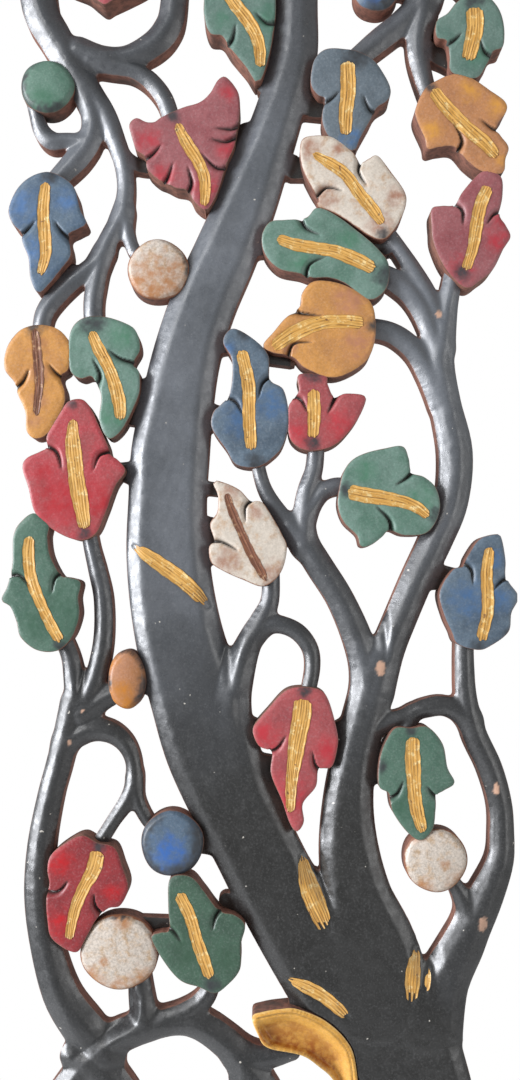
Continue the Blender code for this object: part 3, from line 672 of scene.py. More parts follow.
def carveCrescent(x, y, out):
    inside = np.maximum(-out, 0)
    above = nearLine(x, y, upperArc)[0]
    below = nearLine(x, y, lowerArc)[0]
    across, side = nearLine(x, y, crossLine)[:2]
    bowl = (fade(above - crescent["topRim"], 0, 19) * fade(below - crescent["lowerRim"], -0.5, 6)
            * fade(-side * across, -5, 3))
    besideGroove = np.abs(above - crescent["grooveIn"])
    height = crescent["face"] - rimDrop(inside, crescent["rimRadius"]) - crescent["hollowDepth"] * bowl
    height = height - crescent["grooveDepth"] * (1 - fade(besideGroove, 0.3, 1.6))
    height = height + crescent["uneven"] * wander(x, y, 30, 4)
    # painted shade along the groove under the top rim
    groove = (1 - fade(besideGroove, 0.2, 1.2)) * crescent["grooveShade"]
    # painted shade: the lower part of the scoop darkens to brown
    hollowShade = 0.6 * fade(above, 13, 18) + 0.4 * fade(above / (above + below), 0.5, 0.85)
    return np.clip(height, crescent["lowest"], crescent["highest"]), {
        "rim": inside, "cut": groove * fade(inside, 2, 4), "smudge": np.zeros(x.shape),
        "hazeAndShade": hollowShade * fade(below, 2, 5)}


# its second colour is painted shade in the lower scoop, and its edge colour a painted highlight along the
# rims
crescentPaint = makePaint("crescentPaint", "#dca64c", "#d0983e", "#8a4404", rub="#d8ae66", rubWidth=1.0,
                          cloud=60.0)
carvePlate("crescent", areaOf(crescentRing), crescent["cell"], outsideRing(crescentRing), carveCrescent,
           crescent["back"], [crescentPaint, sawnWood])

# the tree: trunk, limbs and stalks as stations of x, y, width
branching = {
    "cell": 1.7,
    "lowest": 2,
    "highest": 31.5,
    "edge": 19.0,
    "riseShare": 0.5,
    "riseLimit": 9.2,
    "bevel": 19.0,
    "bevelRise": 1.25,
    "shoulder": 0.28,
    "crotch": 7.0,
    "limbBlend": 3.0,
    "webHeight": 15.0,
    "webBlend": 3.0,
    "webFillet": 2.5,
    "rimEase": 1.2,
    "rimWidth": 2.0,
    "uneven": 0.35,
    "toolMarks": 0.12,
    "strokeSink": 0.9,
    "strokeRagged": 9.0,
    "underCrescent": 13.5,
    # painted shade at the top of the trunk
    "topShade": 0.5,
    "thinDarkening": 0.9,
    "darkestLimbs": ("trunk", "rightStem"),
}
limbs = {
    "trunk": [(297, -60, 42), (297, 0, 43), (295, 50, 46), (281, 100, 48), (264, 150, 53), (245, 200, 60),
        (224, 250, 64), (202, 300, 66), (186, 350, 68), (176, 400, 73), (169, 450, 79), (166, 500, 79),
        (166, 550, 83), (171, 600, 86), (181, 650, 90), (197, 700, 96), (211, 750, 95), (230, 800, 88),
        (255, 850, 86), (281, 900, 88), (315, 950, 100), (356, 1000, 120), (396, 1050, 124),
        (414, 1090, 118), (422, 1130, 118)],
    "rightStem": [(376, 1000, 120), (370, 950, 98), (358, 900, 72), (350, 850, 60), (350, 800, 50),
        (358, 750, 45), (371, 700, 44), (377, 665, 42)],
    "middleLimb": [(374, 700, 34), (362, 648, 31), (343, 602, 28), (322, 568, 28), (303, 539, 27),
        (290, 525, 22)],
    "blueCentreStalk": [(300, 536, 22), (281, 513, 17), (266, 490, 15), (259, 468, 14), (257, 450, 14)],
    "redCentreStalk": [(304, 545, 26), (305, 515, 24), (308, 490, 21), (315, 466, 18), (317, 442, 17)],
    "greenHeartStalk": [(308, 512, 20), (322, 492, 18), (336, 485, 18), (352, 485, 16)],
    "rightLimb": [(378, 690, 36), (390, 650, 34), (402, 620, 33), (419, 580, 33), (438, 540, 34),
        (454, 500, 34), (458, 450, 35), (448, 400, 31), (441, 360, 32), (446, 325, 26), (451, 295, 21),
        (458, 262, 20)],
    "whiteTopStalk": [(385, 220, 13), (398, 240, 16), (414, 264, 18), (428, 288, 20), (440, 315, 20),
        (447, 345, 20)],
    "greenMiddleStalk": [(374, 265, 20), (397, 277, 23), (415, 292, 24), (429, 315, 24), (440, 348, 22)],
    "ochreMiddleStalk": [(362, 324, 21), (386, 327, 21), (403, 335, 22), (419, 350, 23), (432, 371, 26),
        (444, 398, 26)],
    "trunkSpur": [(229, 712, 40), (238, 672, 34), (248, 645, 27), (261, 621, 23), (270, 600, 19),
        (271, 570, 18)],
    "redLowerStalk": [(256, 634, 20), (270, 625, 20), (285, 626, 18), (300, 634, 18), (311, 650, 17),
        (313, 670, 16), (308, 697, 15)],
    "outerLimb": [(428, 1030, 80), (447, 985, 52), (470, 940, 42), (489, 900, 36), (503, 865, 28),
        (505, 835, 25), (503, 805, 24), (493, 770, 25), (477, 735, 25), (469, 700, 22), (467, 665, 20),
        (467, 635, 19)],
    "outerHook": [(474, 722, 22), (450, 708, 21), (430, 709, 20), (415, 716, 18), (407, 735, 16)],
    "outerLink": [(412, 716, 16), (396, 722, 18), (380, 728, 18)],
    "rightFruitStalk": [(452, 880, 13), (463, 898, 18), (472, 920, 26), (470, 950, 30), (456, 980, 30)],
    "leftLimb": [(102, 1062, 44), (80, 1034, 42), (58, 1000, 37), (43, 950, 32), (36, 900, 30),
        (38, 850, 28), (47, 800, 26), (55, 770, 26), (63, 738, 26), (70, 705, 26)],
    "leftGreenStalk": [(76, 705, 28), (71, 676, 21), (67, 656, 18), (58, 634, 17)],
    "leftRedStalk": [(80, 712, 26), (94, 675, 22), (101, 640, 20), (101, 600, 19), (95, 570, 18),
        (89, 545, 16), (85, 520, 15)],
    "leftArch": [(62, 745, 24), (86, 732, 25), (106, 733, 23), (122, 744, 19), (131, 762, 16),
        (132, 785, 17), (125, 804, 17), (112, 823, 15), (100, 842, 15)],
    "blueFruitStalk": [(133, 780, 14), (136, 803, 14), (145, 822, 13), (156, 834, 12)],
    "ochreFruitStalk": [(78, 716, 28), (98, 702, 24), (116, 692, 22)],
    "baseLoop": [(52, 1112, 30), (78, 1080, 34), (104, 1052, 34), (130, 1038, 32), (168, 1030, 24),
        (196, 1030, 30), (222, 1046, 32), (243, 1068, 36), (258, 1112, 60)],
    "baseLeftLeg": [(72, 1062, 30), (96, 1078, 44), (126, 1118, 44)],
    "baseLink": [(236, 1062, 30), (262, 1064, 26), (292, 1058, 18)],
    "lowerGreenStalk": [(150, 1030, 24), (180, 1020, 22), (200, 1008, 21), (210, 992, 18), (212, 970, 16)],
    "lowerFruitStalk": [(138, 975, 20), (139, 1000, 26), (143, 1030, 30)],
    "topLeftLimb": [(30, -60, 38), (37, 0, 36), (52, 30, 34), (68, 58, 31), (82, 85, 27), (90, 110, 23),
        (88, 132, 24), (75, 152, 25), (56, 172, 21)],
    "topRing": [(176, -60, 26), (172, 0, 27), (165, 22, 28), (150, 38, 27), (125, 50, 24), (100, 51, 26),
        (76, 44, 30)],
    "redTopStalk": [(88, 52, 22), (112, 58, 20), (132, 63, 18), (149, 74, 18), (163, 92, 18),
        (171, 116, 18)],
    "greenFruitStalk": [(84, 136, 18), (66, 134, 15), (50, 135, 19), (39, 125, 17), (33, 108, 14),
        (28, 90, 12)],
    "leftStem": [(84, 78, 24), (103, 108, 22), (114, 135, 20), (122, 160, 19), (124, 185, 18),
        (120, 212, 21)],
    "creamFruitStalk": [(123, 205, 13), (126, 228, 14), (131, 243, 14), (138, 254, 13)],
    "leftFork": [(122, 205, 18), (108, 232, 20), (97, 254, 20)],
    "ochreLeftStalk": [(104, 246, 16), (90, 261, 18), (72, 275, 19), (52, 294, 20), (41, 311, 19),
        (38, 332, 18)],
    "greenLeftStalk": [(101, 248, 18), (94, 278, 20), (91, 300, 20), (92, 328, 20)],
    "topRightLimb": [(424, -60, 36), (425, 0, 34), (421, 25, 27), (420, 45, 22), (424, 65, 20),
        (432, 92, 17)],
    "blueTopStalk": [(434, -14, 28), (404, 14, 25), (379, 34, 24), (351, 57, 20)],
    "greenTopStalk": [(424, -34, 20), (450, -32, 18), (470, -18, 18), (473, 8, 16)],
    "topFruitStalk": [(420, -24, 18), (398, -22, 16), (378, -20, 16)],
    "topCentreStalk": [(172, -30, 16), (196, -34, 16), (216, -24, 16)],
}
webs = {
    "redTopLeft": [(120, 150, 16), (136, 158, 14), (152, 160, 14)],
    "redTopRight": [(216, 198, 16), (226, 174, 22), (238, 150, 24), (246, 128, 26)],
    "topCentre": [(263, 80, 12), (270, 52, 14), (276, 24, 14)],
    "whiteOnGreen": [(318, 208, 12), (350, 224, 14), (378, 240, 12)],
    "blueTop": [(300, 95, 26), (330, 103, 16)],
    "whiteTop": [(294, 160, 24), (310, 164, 16)],
    "greenTop": [(424, 40, 20), (444, 48, 18), (456, 54, 18)],
    "leftBlue": [(52, 282, 12), (68, 266, 16)],
    "leftGreen": [(142, 400, 50), (124, 402, 40)],
    "leftRed": [(134, 472, 26), (114, 468, 16)],
    "ochreFruit": [(152, 676, 44), (132, 680, 30)],
    "blueFruit": [(212, 842, 34), (190, 842, 30)],
    "greenMiddle": [(252, 236, 30), (274, 238, 24)],
    "greenToWhite": [(372, 234, 10), (388, 244, 12)],
    "ochreToBlue": [(262, 352, 14), (292, 358, 10)],
    "blueCentreTop": [(214, 340, 22), (232, 342, 14)],
    "blueCentreLow": [(206, 414, 30), (224, 416, 24)],
    "whiteLowerTop": [(204, 486, 14), (222, 488, 14)],
    "whiteLowerLow": [(204, 540, 52), (222, 540, 44)],
    "whiteToLimb": [(262, 512, 14), (286, 536, 18)],
    "heart": [(428, 500, 34), (446, 504, 30)],
    "blueRight": [(436, 576, 28), (456, 578, 22)],
    "redLowerLeft": [(246, 728, 22), (262, 730, 14)],
    "redLowerTip": [(268, 776, 14), (280, 804, 18), (294, 826, 14)],
    "redLowerRight": [(344, 742, 44), (330, 742, 30)],
    "redLowerHole": [(254, 762, 14), (280, 766, 12)],
    "greenRight": [(374, 766, 44), (392, 766, 34)],
    "greenOnFruit": [(414, 824, 16), (430, 838, 16)],
    "leftRedLow": [(44, 880, 30), (60, 884, 24)],
    "redOnFruit": [(84, 932, 16), (100, 946, 16)],
    "fruitToGreen": [(140, 932, 20), (168, 930, 14)],
    "greenLow": [(226, 905, 16), (246, 908, 26)],
    "crescent": [(304, 1008, 30), (350, 1020, 46)],
    "ochreLeft": [(64, 352, 26), (76, 352, 26)],
    "ochreToRed": [(52, 424, 18), (64, 418, 18)],
}
trunkStrokes = [
    [(133, 545, 5), (146, 555, 13), (160, 564, 15), (178, 577, 15), (195, 592, 14), (207, 606, 8)],
    [(302, 858, 7), (306, 875, 15), (312, 895, 20), (320, 915, 19), (327, 930, 14)],
    [(417, 952, 9), (415, 968, 14), (413, 985, 15), (412, 1003, 10)],
    [(430, 972, 4), (429, 984, 6), (426, 996, 4)],
    [(288, 981, 5), (304, 987, 12), (322, 997, 13), (338, 1009, 12), (349, 1020, 7)],
]
# valleys where limbs part: line, depth, reach to its left and right
scoops = [
    ([(228, 632), (223, 655), (218, 680), (214, 706)], 8.0, 32, 17),
    ([(384, 614), (386, 640), (386, 664)], 3.5, 6, 7),
    ([(84, 662), (79, 684), (74, 706)], 3.0, 6, 6),
    ([(317, 862), (322, 884), (331, 912)], 3.0, 12, 10),
    ([(150, 58), (130, 54), (106, 52)], 3.5, 9, 6),
    ([(108, 84), (98, 72), (86, 58)], 4.0, 8, 10),
    ([(236, 700), (240, 740), (250, 780)], 2.0, 12, 14),
    ([(430, 952), (436, 976), (437, 1006)], 4.0, 9, 14),
    ([(131, 1004), (126, 1022), (104, 1037), (83, 1053), (62, 1070)], 7.0, 26, 11),
]
# places where the paint is off: x, y, half-width, half-height
bareSpots = [(381, 669, 5, 8), (440, 312, 3, 4), (498, 790, 3, 6), (484, 926, 5, 8), (68, 744, 2.5, 3),
    (81, 712, 2, 2), (385, 272, 2, 2)]
limbLines = {name: smoothLine(route, steps=6) for name, route in limbs.items()}
webLines = [smoothLine(route, steps=4) for route in webs.values()]
strokeLines = [smoothLine(line, steps=6) for line in trunkStrokes]


# the joined limbs: distance outside them, height of the carving, how far it is only a low web (near black
# there as painted shade), and how much darker the paint is: painted shade at the top, darker towards the
# foot
def branchField(x, y):
    outside = np.full(x.shape, 60.0)
    webOut = np.full(x.shape, 60.0)
    limbTop = np.full(x.shape, -20.0)
    darkening = np.zeros(x.shape)
    for name, line in limbLines.items():
        near = around(x, y, line, room=12)
        if not near.any():
            continue
        far, side, share, (width,) = nearLine(x[near], y[near], line)
        half = width / 2
        rise = np.minimum(branching["riseShare"] * half, branching["riseLimit"])
        inward = np.maximum((half - far) / np.minimum(half, branching["bevel"]), -2)
        shape = blendLow(branching["bevelRise"] * inward, np.ones(inward.shape), branching["shoulder"])
        outside[near] = blendLow(outside[near], far - half, branching["crotch"])
        limbTop[near] = blendHigh(limbTop[near], branching["edge"] + rise * shape, branching["limbBlend"])
        if name in branching["darkestLimbs"]:
            darkening[near] = np.maximum(darkening[near], 1 - fade(far - half, -10, 18))
    for line in webLines:
        near = around(x, y, line, room=8)
        if near.any():
            far, side, share, (width,) = nearLine(x[near], y[near], line)
            webOut[near] = np.minimum(webOut[near], far - width / 2)
    outside = np.maximum(blendLow(outside, webOut, branching["webBlend"]), pastEnds(y))
    height = blendHigh(limbTop, np.full(x.shape, branching["webHeight"]), branching["webFillet"])
    # how far a place is only low web, where the paint turns near black as painted shade
    webShade = fade(branching["edge"] - 1.0 - limbTop, -0.5, 2.0)
    # painted shade at the top; below that, darker towards the foot, most around the trunk and right stem
    drifted = y + 14 * wander(x, y, 90, 2)
    darkening = (branching["topShade"] * (1 - fade(drifted, 60, 150)) + darkening * fade(drifted, 470, 840)
            + (1 - darkening) * branching["thinDarkening"] * fade(drifted, 330, 740))
    return outside, height, webShade, darkening


def branchOutside(x, y):
    return branchField(x, y)[0]


def carveBranches(x, y, out):
    outside, height, webShade, darkening = branchField(x, y)
    height = (height + branching["uneven"] * wander(x, y, 60, 3) * fade(-outside, 1, 6)
              + branching["toolMarks"] * wander(x, y, 14, 8))
    for line in strokeLines:
        far, side, share, (width,) = nearLine(x, y, line)
        height = height - branching["strokeSink"] * (1 - fade(far - width / 2, -1.4, 0.1))
    for points, depth, leftReach, rightReach in scoops:
        far, side, share, none = nearLine(x, y, smoothLine(points, steps=6))
        left = np.clip(1 - far / leftReach, 0, 1) ** 1.7
        right = np.clip(1 - far / rightReach, 0, 1) ** 1.2
        height = height - depth * np.where(side > 0, left, right) * (1 - share ** 2.5)
    under = 1 - fade(outsideOf(x, y, crescentRing), -2.0, 1.0)
    height = np.minimum(height, branching["highest"] - branching["underCrescent"] * under)
    eased = np.clip(1 + outside / branching["rimWidth"], 0, 1)
    height = height - branching["rimEase"] * eased * eased
    bare = np.zeros(x.shape)
    for bx, by, wide, tall in bareSpots:
        spot = ((x - bx) / wide) ** 2 + ((y - by) / tall) ** 2 + 0.5 * wander(x, y, 7, 5)
        bare = np.maximum(bare, 1 - fade(spot, 0.6, 1.2))
    return np.clip(height, branching["lowest"], branching["highest"]), {
        "rim": -outside, "webShade": webShade, "bare": bare, "darkening": darkening}


branches = carvePlate("branchwork", (8, 522, panel["topCut"] - 2, panel["footCut"] + 2), branching["cell"],
                      branchOutside, carveBranches, 0.0, [charcoalPaint, sawnWood, gold], trunkStrokes,
                      branching["strokeRagged"])
print("branches carved:", len(branches.data.polygons), "faces")

# leaves: paint, outline, vein with widths, cuts from the rim inwards, dark collars of x, y, size
leaf = {
    "cell": 1.15,
    "face": 31.5,
    "lowest": 6,
    "highest": 31.95,
    "rimRadius": 1.2,
    "rimEase": 0.35,
    "easeReach": 13,
    "uneven": 0.35,
    "toolMarks": 0.1,
    "cutDepth": 9.0,
    "cutSpread": 9.0,
    "cutBlack": 3.2,
    "cutBend": 0.12,
    "steep": 0.9,
    "veinSink": 0.8,
    "back": 0.5,
}
leaves = {
    "leafTopCentre": (
        "greenUpper",
        [(204, -4), (204, 15), (210, 32), (222, 35), (231, 48), (246, 66), (258, 82), (267, 62), (273, 34),
         (276, 4), (272, -22), (250, -40), (222, -38), (206, -24)],
        [(222, -14, 11), (234, 2, 13), (245, 16, 13), (255, 33, 13), (260, 49, 12), (260, 67, 9)],
        [[(225, 44), (229, 37), (235, 25)], [(278, 19), (268, 18), (256, 12)]],
        [(212, -28, 12)]),
    "leafRedWings": (
        "redHazy",
        [(170, 112), (160, 117), (154, 121), (146, 121), (136, 117), (129, 124), (132, 137), (136, 149),
         (145, 156), (147, 168), (157, 178), (166, 182), (176, 187), (188, 190), (195, 202), (206, 209),
         (214, 199), (220, 184), (227, 162), (234, 146), (236, 134), (239, 118), (240, 102), (237, 89),
         (226, 76), (218, 79), (210, 92), (200, 101), (184, 106)],
        [(177, 123, 8), (188, 145, 12), (199, 163, 12), (205, 180, 11), (204, 206, 9)],
        [[(139, 157), (148, 152), (160, 145)], [(158, 187), (163, 176), (172, 164)], [(185, 194),
         (187, 182), (188, 168)], [(232, 164), (218, 162), (202, 153)], [(240, 131), (226, 136),
         (212, 138)], [(245, 114), (232, 123), (216, 127)]],
        [(173, 115, 8)]),
    "leafBlueLeft": (
        "bluePale",
        [(48, 171), (30, 176), (16, 189), (8, 209), (12, 223), (20, 231), (22, 242), (28, 258), (30, 278),
         (38, 292), (50, 282), (61, 268), (70, 256), (70, 246), (68, 234), (78, 228), (86, 222), (80, 208),
         (75, 189), (65, 178)],
        [(46, 182, 9), (43, 208, 12), (45, 238, 12), (45, 256, 11), (40, 275, 8)],
        [[(14, 234), (22, 228), (34, 221)], [(72, 238), (64, 228), (55, 221)]],
        [(49, 174, 9)]),
    "leafOchreLeft": (
        "ochreWorn",
        [(31, 325), (17, 332), (6, 348), (4, 368), (14, 382), (17, 393), (25, 412), (26, 430), (34, 438),
         (46, 434), (56, 419), (64, 403), (64, 390), (60, 376), (68, 368), (70, 346), (62, 332), (48, 325)],
        [],
        [[(12, 388), (19, 379), (28, 370)], [(66, 378), (58, 370), (49, 364)]],
        [(35, 327, 9)]),
    "leafGreenLeft": (
        "greenMiddle",
        [(84, 317), (72, 327), (68, 345), (70, 370), (80, 378), (91, 376), (97, 385), (101, 397), (99, 420),
         (108, 438), (121, 430), (132, 410), (139, 392), (139, 372), (133, 363), (140, 348), (136, 331),
         (126, 323), (104, 316)],
        [(91, 331, 9), (98, 347, 12), (107, 365, 12), (114, 382, 13), (119, 402, 13), (120, 420, 10)],
        [[(93, 388), (95, 375), (93, 360)], [(136, 361), (122, 354), (109, 350)]],
        [(92, 321, 14)]),
    "leafRedLeft": (
        "redMiddle",
        [(68, 401), (82, 399), (91, 409), (99, 426), (107, 444), (110, 454), (118, 460), (125, 471),
         (115, 486), (105, 513), (95, 534), (78, 540), (55, 531), (35, 513), (28, 488), (22, 468),
         (26, 458), (40, 451), (46, 447), (47, 434), (60, 412)],
        [(73, 419, 8), (73, 445, 15), (76, 475, 16), (80, 500, 16), (85, 529, 12)],
        [[(40, 445), (52, 454), (61, 468)], [(114, 452), (102, 458), (94, 469)]],
        [(84, 534, 7), (72, 403, 6)]),
    "leafGreenLowerLeft": (
        "greenDeep",
        [(34, 513), (21, 521), (13, 535), (12, 563), (9, 578), (6, 588), (1, 600), (10, 607), (16, 622),
         (20, 637), (36, 650), (56, 651), (71, 638), (79, 616), (78, 598), (80, 582), (68, 577), (60, 575),
         (50, 556), (47, 538), (48, 524)],
        [(30, 536, 9), (28, 553, 12), (31, 577, 12), (39, 600, 11), (49, 621, 11), (60, 642, 10)],
        [[(6, 578), (18, 579), (29, 586)], [(66, 572), (58, 580), (52, 592)]],
        [(61, 645, 7)]),
    "leafBlueTop": (
        "blueSlate",
        [(347, 48), (326, 48), (314, 60), (311, 82), (318, 94), (325, 98), (322, 116), (327, 133),
         (340, 143), (354, 150), (360, 138), (370, 120), (377, 107), (388, 99), (391, 90), (387, 78),
         (374, 59), (360, 51)],
        [(348, 61, 14), (348, 88, 15), (346, 113, 14), (346, 135, 10)],
        [[(316, 99), (326, 97), (339, 91)], [(383, 110), (373, 106), (364, 95)]],
        [(356, 56, 13)]),
    "leafOchreTop": (
        "ochreBrown",
        [(436, 80), (425, 88), (417, 104), (416, 116), (425, 137), (428, 148), (440, 146), (455, 146),
         (468, 160), (484, 171), (503, 172), (506, 158), (509, 146), (500, 133), (498, 124), (507, 110),
         (505, 100), (490, 89), (472, 77), (454, 73)],
        [(433, 89, 12), (449, 110, 14), (470, 130, 14), (485, 143, 14), (497, 157, 11)],
        [[(455, 152), (458, 140), (455, 124)], [(508, 124), (496, 124), (482, 119)]],
        [(430, 86, 7)]),
    "leafGreenTop": (
        "greenUpper",
        [(470, -7), (457, 1), (448, 12), (437, 20), (437, 36), (447, 40), (450, 55), (452, 71), (476, 77),
         (488, 62), (494, 50), (503, 46), (505, 33), (503, 17), (497, 4), (486, -6)],
        [(474, 7, 17), (475, 30, 17), (468, 60, 13)],
        [[(444, 42), (452, 37), (461, 33)], [(497, 54), (488, 48), (481, 39)]],
        [(474, -1, 10)]),
    "leafRedRight": (
        "redHazy",
        [(490, 170), (479, 173), (463, 191), (455, 204), (442, 205), (432, 208), (432, 225), (434, 242),
         (446, 268), (466, 287), (482, 279), (494, 268), (504, 248), (511, 236), (506, 224), (500, 214),
         (503, 195), (502, 177)],
        [(489, 186, 11), (481, 203, 13), (477, 225, 13), (473, 247, 11), (466, 270, 10)],
        [[(451, 202), (459, 211), (463, 223)], [(505, 212), (497, 216), (488, 223)]],
        [(462, 273, 9)]),
    "leafWhiteTop": (
        "creamPaint",
        [(300, 148), (306, 136), (332, 136), (350, 148), (361, 161), (369, 158), (378, 155), (392, 172),
         (405, 191), (406, 205), (398, 224), (385, 238), (370, 235), (348, 220), (330, 210), (316, 205),
         (319, 199), (312, 187), (303, 168)],
        [(313, 153, 6), (330, 163, 11), (347, 176, 12), (361, 195, 12), (374, 211, 12), (383, 224, 8)],
        [[(363, 158), (363, 170), (367, 184)], [(315, 200), (328, 191), (342, 190)]],
        [(383, 234, 7)]),
    "leafGreenMiddle": (
        "greenMiddle",
        [(270, 221), (262, 235), (265, 253), (279, 268), (300, 273), (313, 277), (330, 277), (346, 283),
         (370, 299), (387, 287), (389, 264), (379, 249), (360, 232), (334, 213), (317, 207), (306, 217),
         (286, 219)],
        [(277, 238, 10), (295, 244, 12), (315, 248, 12), (335, 251, 13), (355, 259, 14), (375, 269, 13)],
        [[(302, 214), (309, 224), (320, 234)], [(308, 280), (313, 267), (326, 256)]],
        [(387, 275, 13)]),
    "leafOchreMiddle": (
        "ochreBright",
        [(311, 282), (302, 293), (301, 303), (297, 309), (285, 318), (274, 331), (263, 345), (273, 352),
         (286, 354), (295, 358), (306, 368), (334, 377), (363, 364), (374, 345), (376, 322), (370, 300),
         (346, 285), (325, 280)],
        [(273, 348, 12), (290, 335, 15), (307, 327, 15), (325, 322, 14), (345, 321, 13), (364, 323, 12)],
        [[(294, 309), (307, 309), (322, 315)], [(289, 360), (296, 347), (312, 342)]],
        [(374, 325, 7)]),
    "leafBlueCentre": (
        "blueMiddle",
        [(232, 328), (223, 341), (232, 360), (230, 392), (221, 404), (213, 412), (212, 428), (226, 449),
         (236, 464), (256, 467), (272, 458), (283, 445), (289, 420), (284, 390), (270, 379), (268, 354),
         (250, 336)],
        [(241, 350, 12), (248, 380, 13), (249, 412, 13), (251, 450, 11)],
        [[(222, 399), (232, 403), (242, 413)], [(273, 376), (266, 385), (259, 397)]],
        [(256, 461, 9), (243, 333, 7)]),
    "leafRedCentre": (
        "redDeep",
        [(299, 374), (299, 390), (292, 400), (288, 410), (290, 438), (307, 450), (334, 445), (354, 425),
         (365, 404), (364, 395), (346, 393), (334, 396), (328, 384), (325, 375)],
        [(314, 389, 11), (314, 410, 13), (313, 438, 11)],
        [[(291, 397), (298, 401), (307, 411)], [(336, 392), (330, 400), (328, 412)]],
        [(313, 442, 8), (314, 373, 10)]),
    "leafGreenHeart": (
        "greenMiddle",
        [(344, 471), (352, 460), (365, 453), (385, 448), (403, 446), (409, 458), (412, 472), (425, 477),
         (437, 489), (440, 511), (428, 532), (405, 535), (390, 530), (382, 537), (371, 545), (361, 546),
         (357, 535), (344, 522), (338, 505), (340, 486)],
        [(348, 491, 15), (370, 496, 15), (390, 499, 14), (405, 502, 12), (418, 508, 11), (429, 517, 9)],
        [[(415, 466), (405, 474), (397, 484)], [(390, 537), (385, 522), (377, 507)]],
        [(344, 489, 8), (437, 515, 8)]),
    "leafWhiteLower": (
        "creamPaint",
        [(213, 481), (226, 483), (240, 490), (250, 500), (262, 502), (272, 516), (282, 534), (287, 548),
         (281, 572), (264, 586), (242, 579), (222, 570), (211, 562), (209, 547), (214, 540), (210, 524),
         (217, 512), (218, 496)],
        [],
        [[(256, 499), (249, 508), (246, 521)], [(207, 543), (220, 546), (237, 550)]],
        []),
    "leafRedLower": (
        "redDeep",
        [(302, 687), (285, 691), (268, 709), (254, 726), (254, 737), (260, 747), (272, 753), (271, 774),
         (282, 801), (290, 824), (297, 832), (304, 822), (303, 804), (316, 787), (319, 770), (332, 767),
         (338, 746), (337, 730), (329, 701), (320, 690)],
        [(303, 699, 17), (301, 720, 19), (296, 750, 16), (292, 780, 12), (290, 813, 8)],
        [[(264, 751), (274, 746), (285, 737)], [(325, 773), (319, 764), (313, 752)]],
        [(305, 691, 7)]),
    "leafGreenRight": (
        "greenDeep",
        [(396, 728), (387, 740), (380, 759), (379, 786), (389, 794), (393, 812), (407, 832), (421, 841),
         (433, 830), (436, 810), (437, 796), (444, 791), (455, 783), (448, 768), (443, 744), (428, 727),
         (412, 728)],
        [(413, 737, 13), (413, 760, 15), (414, 785, 14), (417, 810, 13), (423, 833, 10)],
        [[(385, 799), (394, 792), (403, 782)], [(441, 797), (436, 793), (428, 787)]],
        [(411, 731, 6), (381, 766, 7)]),
    "leafBlueRight": (
        "blueMiddle",
        [(496, 534), (480, 539), (468, 556), (464, 566), (453, 570), (440, 592), (445, 616), (452, 632),
         (458, 644), (478, 650), (491, 646), (509, 632), (512, 613), (519, 597), (510, 583), (506, 574),
         (506, 560), (502, 538)],
        [(490, 547, 9), (487, 570, 12), (488, 595, 12), (487, 616, 12), (481, 641, 11)],
        [[(461, 562), (468, 571), (473, 583)], [(511, 579), (504, 584), (495, 589)]],
        [(478, 648, 9), (512, 634, 7)]),
    "leafRedLowerLeft": (
        "redDark",
        [(97, 843), (83, 836), (69, 841), (51, 855), (47, 870), (49, 884), (46, 898), (47, 920), (52, 940),
         (75, 953), (86, 938), (96, 920), (108, 909), (120, 906), (128, 888), (122, 867), (114, 848)],
        [(98, 851, 14), (93, 870, 15), (83, 890, 12), (74, 912, 11), (69, 940, 9)],
        [[(46, 891), (56, 889), (67, 882)], [(102, 914), (98, 905), (94, 894)]],
        [(99, 846, 7)]),
    "leafGreenLow": (
        "greenDark",
        [(170, 879), (190, 877), (204, 892), (219, 911), (235, 916), (245, 926), (241, 945), (240, 970),
         (226, 987), (214, 994), (199, 988), (180, 981), (163, 961), (151, 938), (160, 933), (169, 930),
         (168, 906)],
        [(179, 893, 11), (189, 915, 12), (196, 937, 12), (203, 958, 12), (210, 979, 11)],
        [[(224, 909), (219, 919), (213, 930)], [(162, 929), (170, 934), (180, 941)]],
        [(211, 985, 9)]),
    "leafRedTip": (
        "redHazy",
        [(104, 3), (95, -3), (85, -11), (68, -18), (53, -27), (44, -44), (44, -60), (171, -60), (169, -44),
         (158, -29), (146, -18), (127, -8), (112, -1)],
        [(105, -8, 8), (106, -20, 12), (106, -39, 12)],
        [],
        []),
}
brownVeins = {
    "leafOchreLeft": [(34, 329, 7), (37, 350, 9), (39, 380, 9), (36, 416, 6)],
    "leafWhiteLower": [(226, 493, 6), (232, 510, 8), (240, 530, 8), (251, 553, 9), (266, 581, 7)],
}
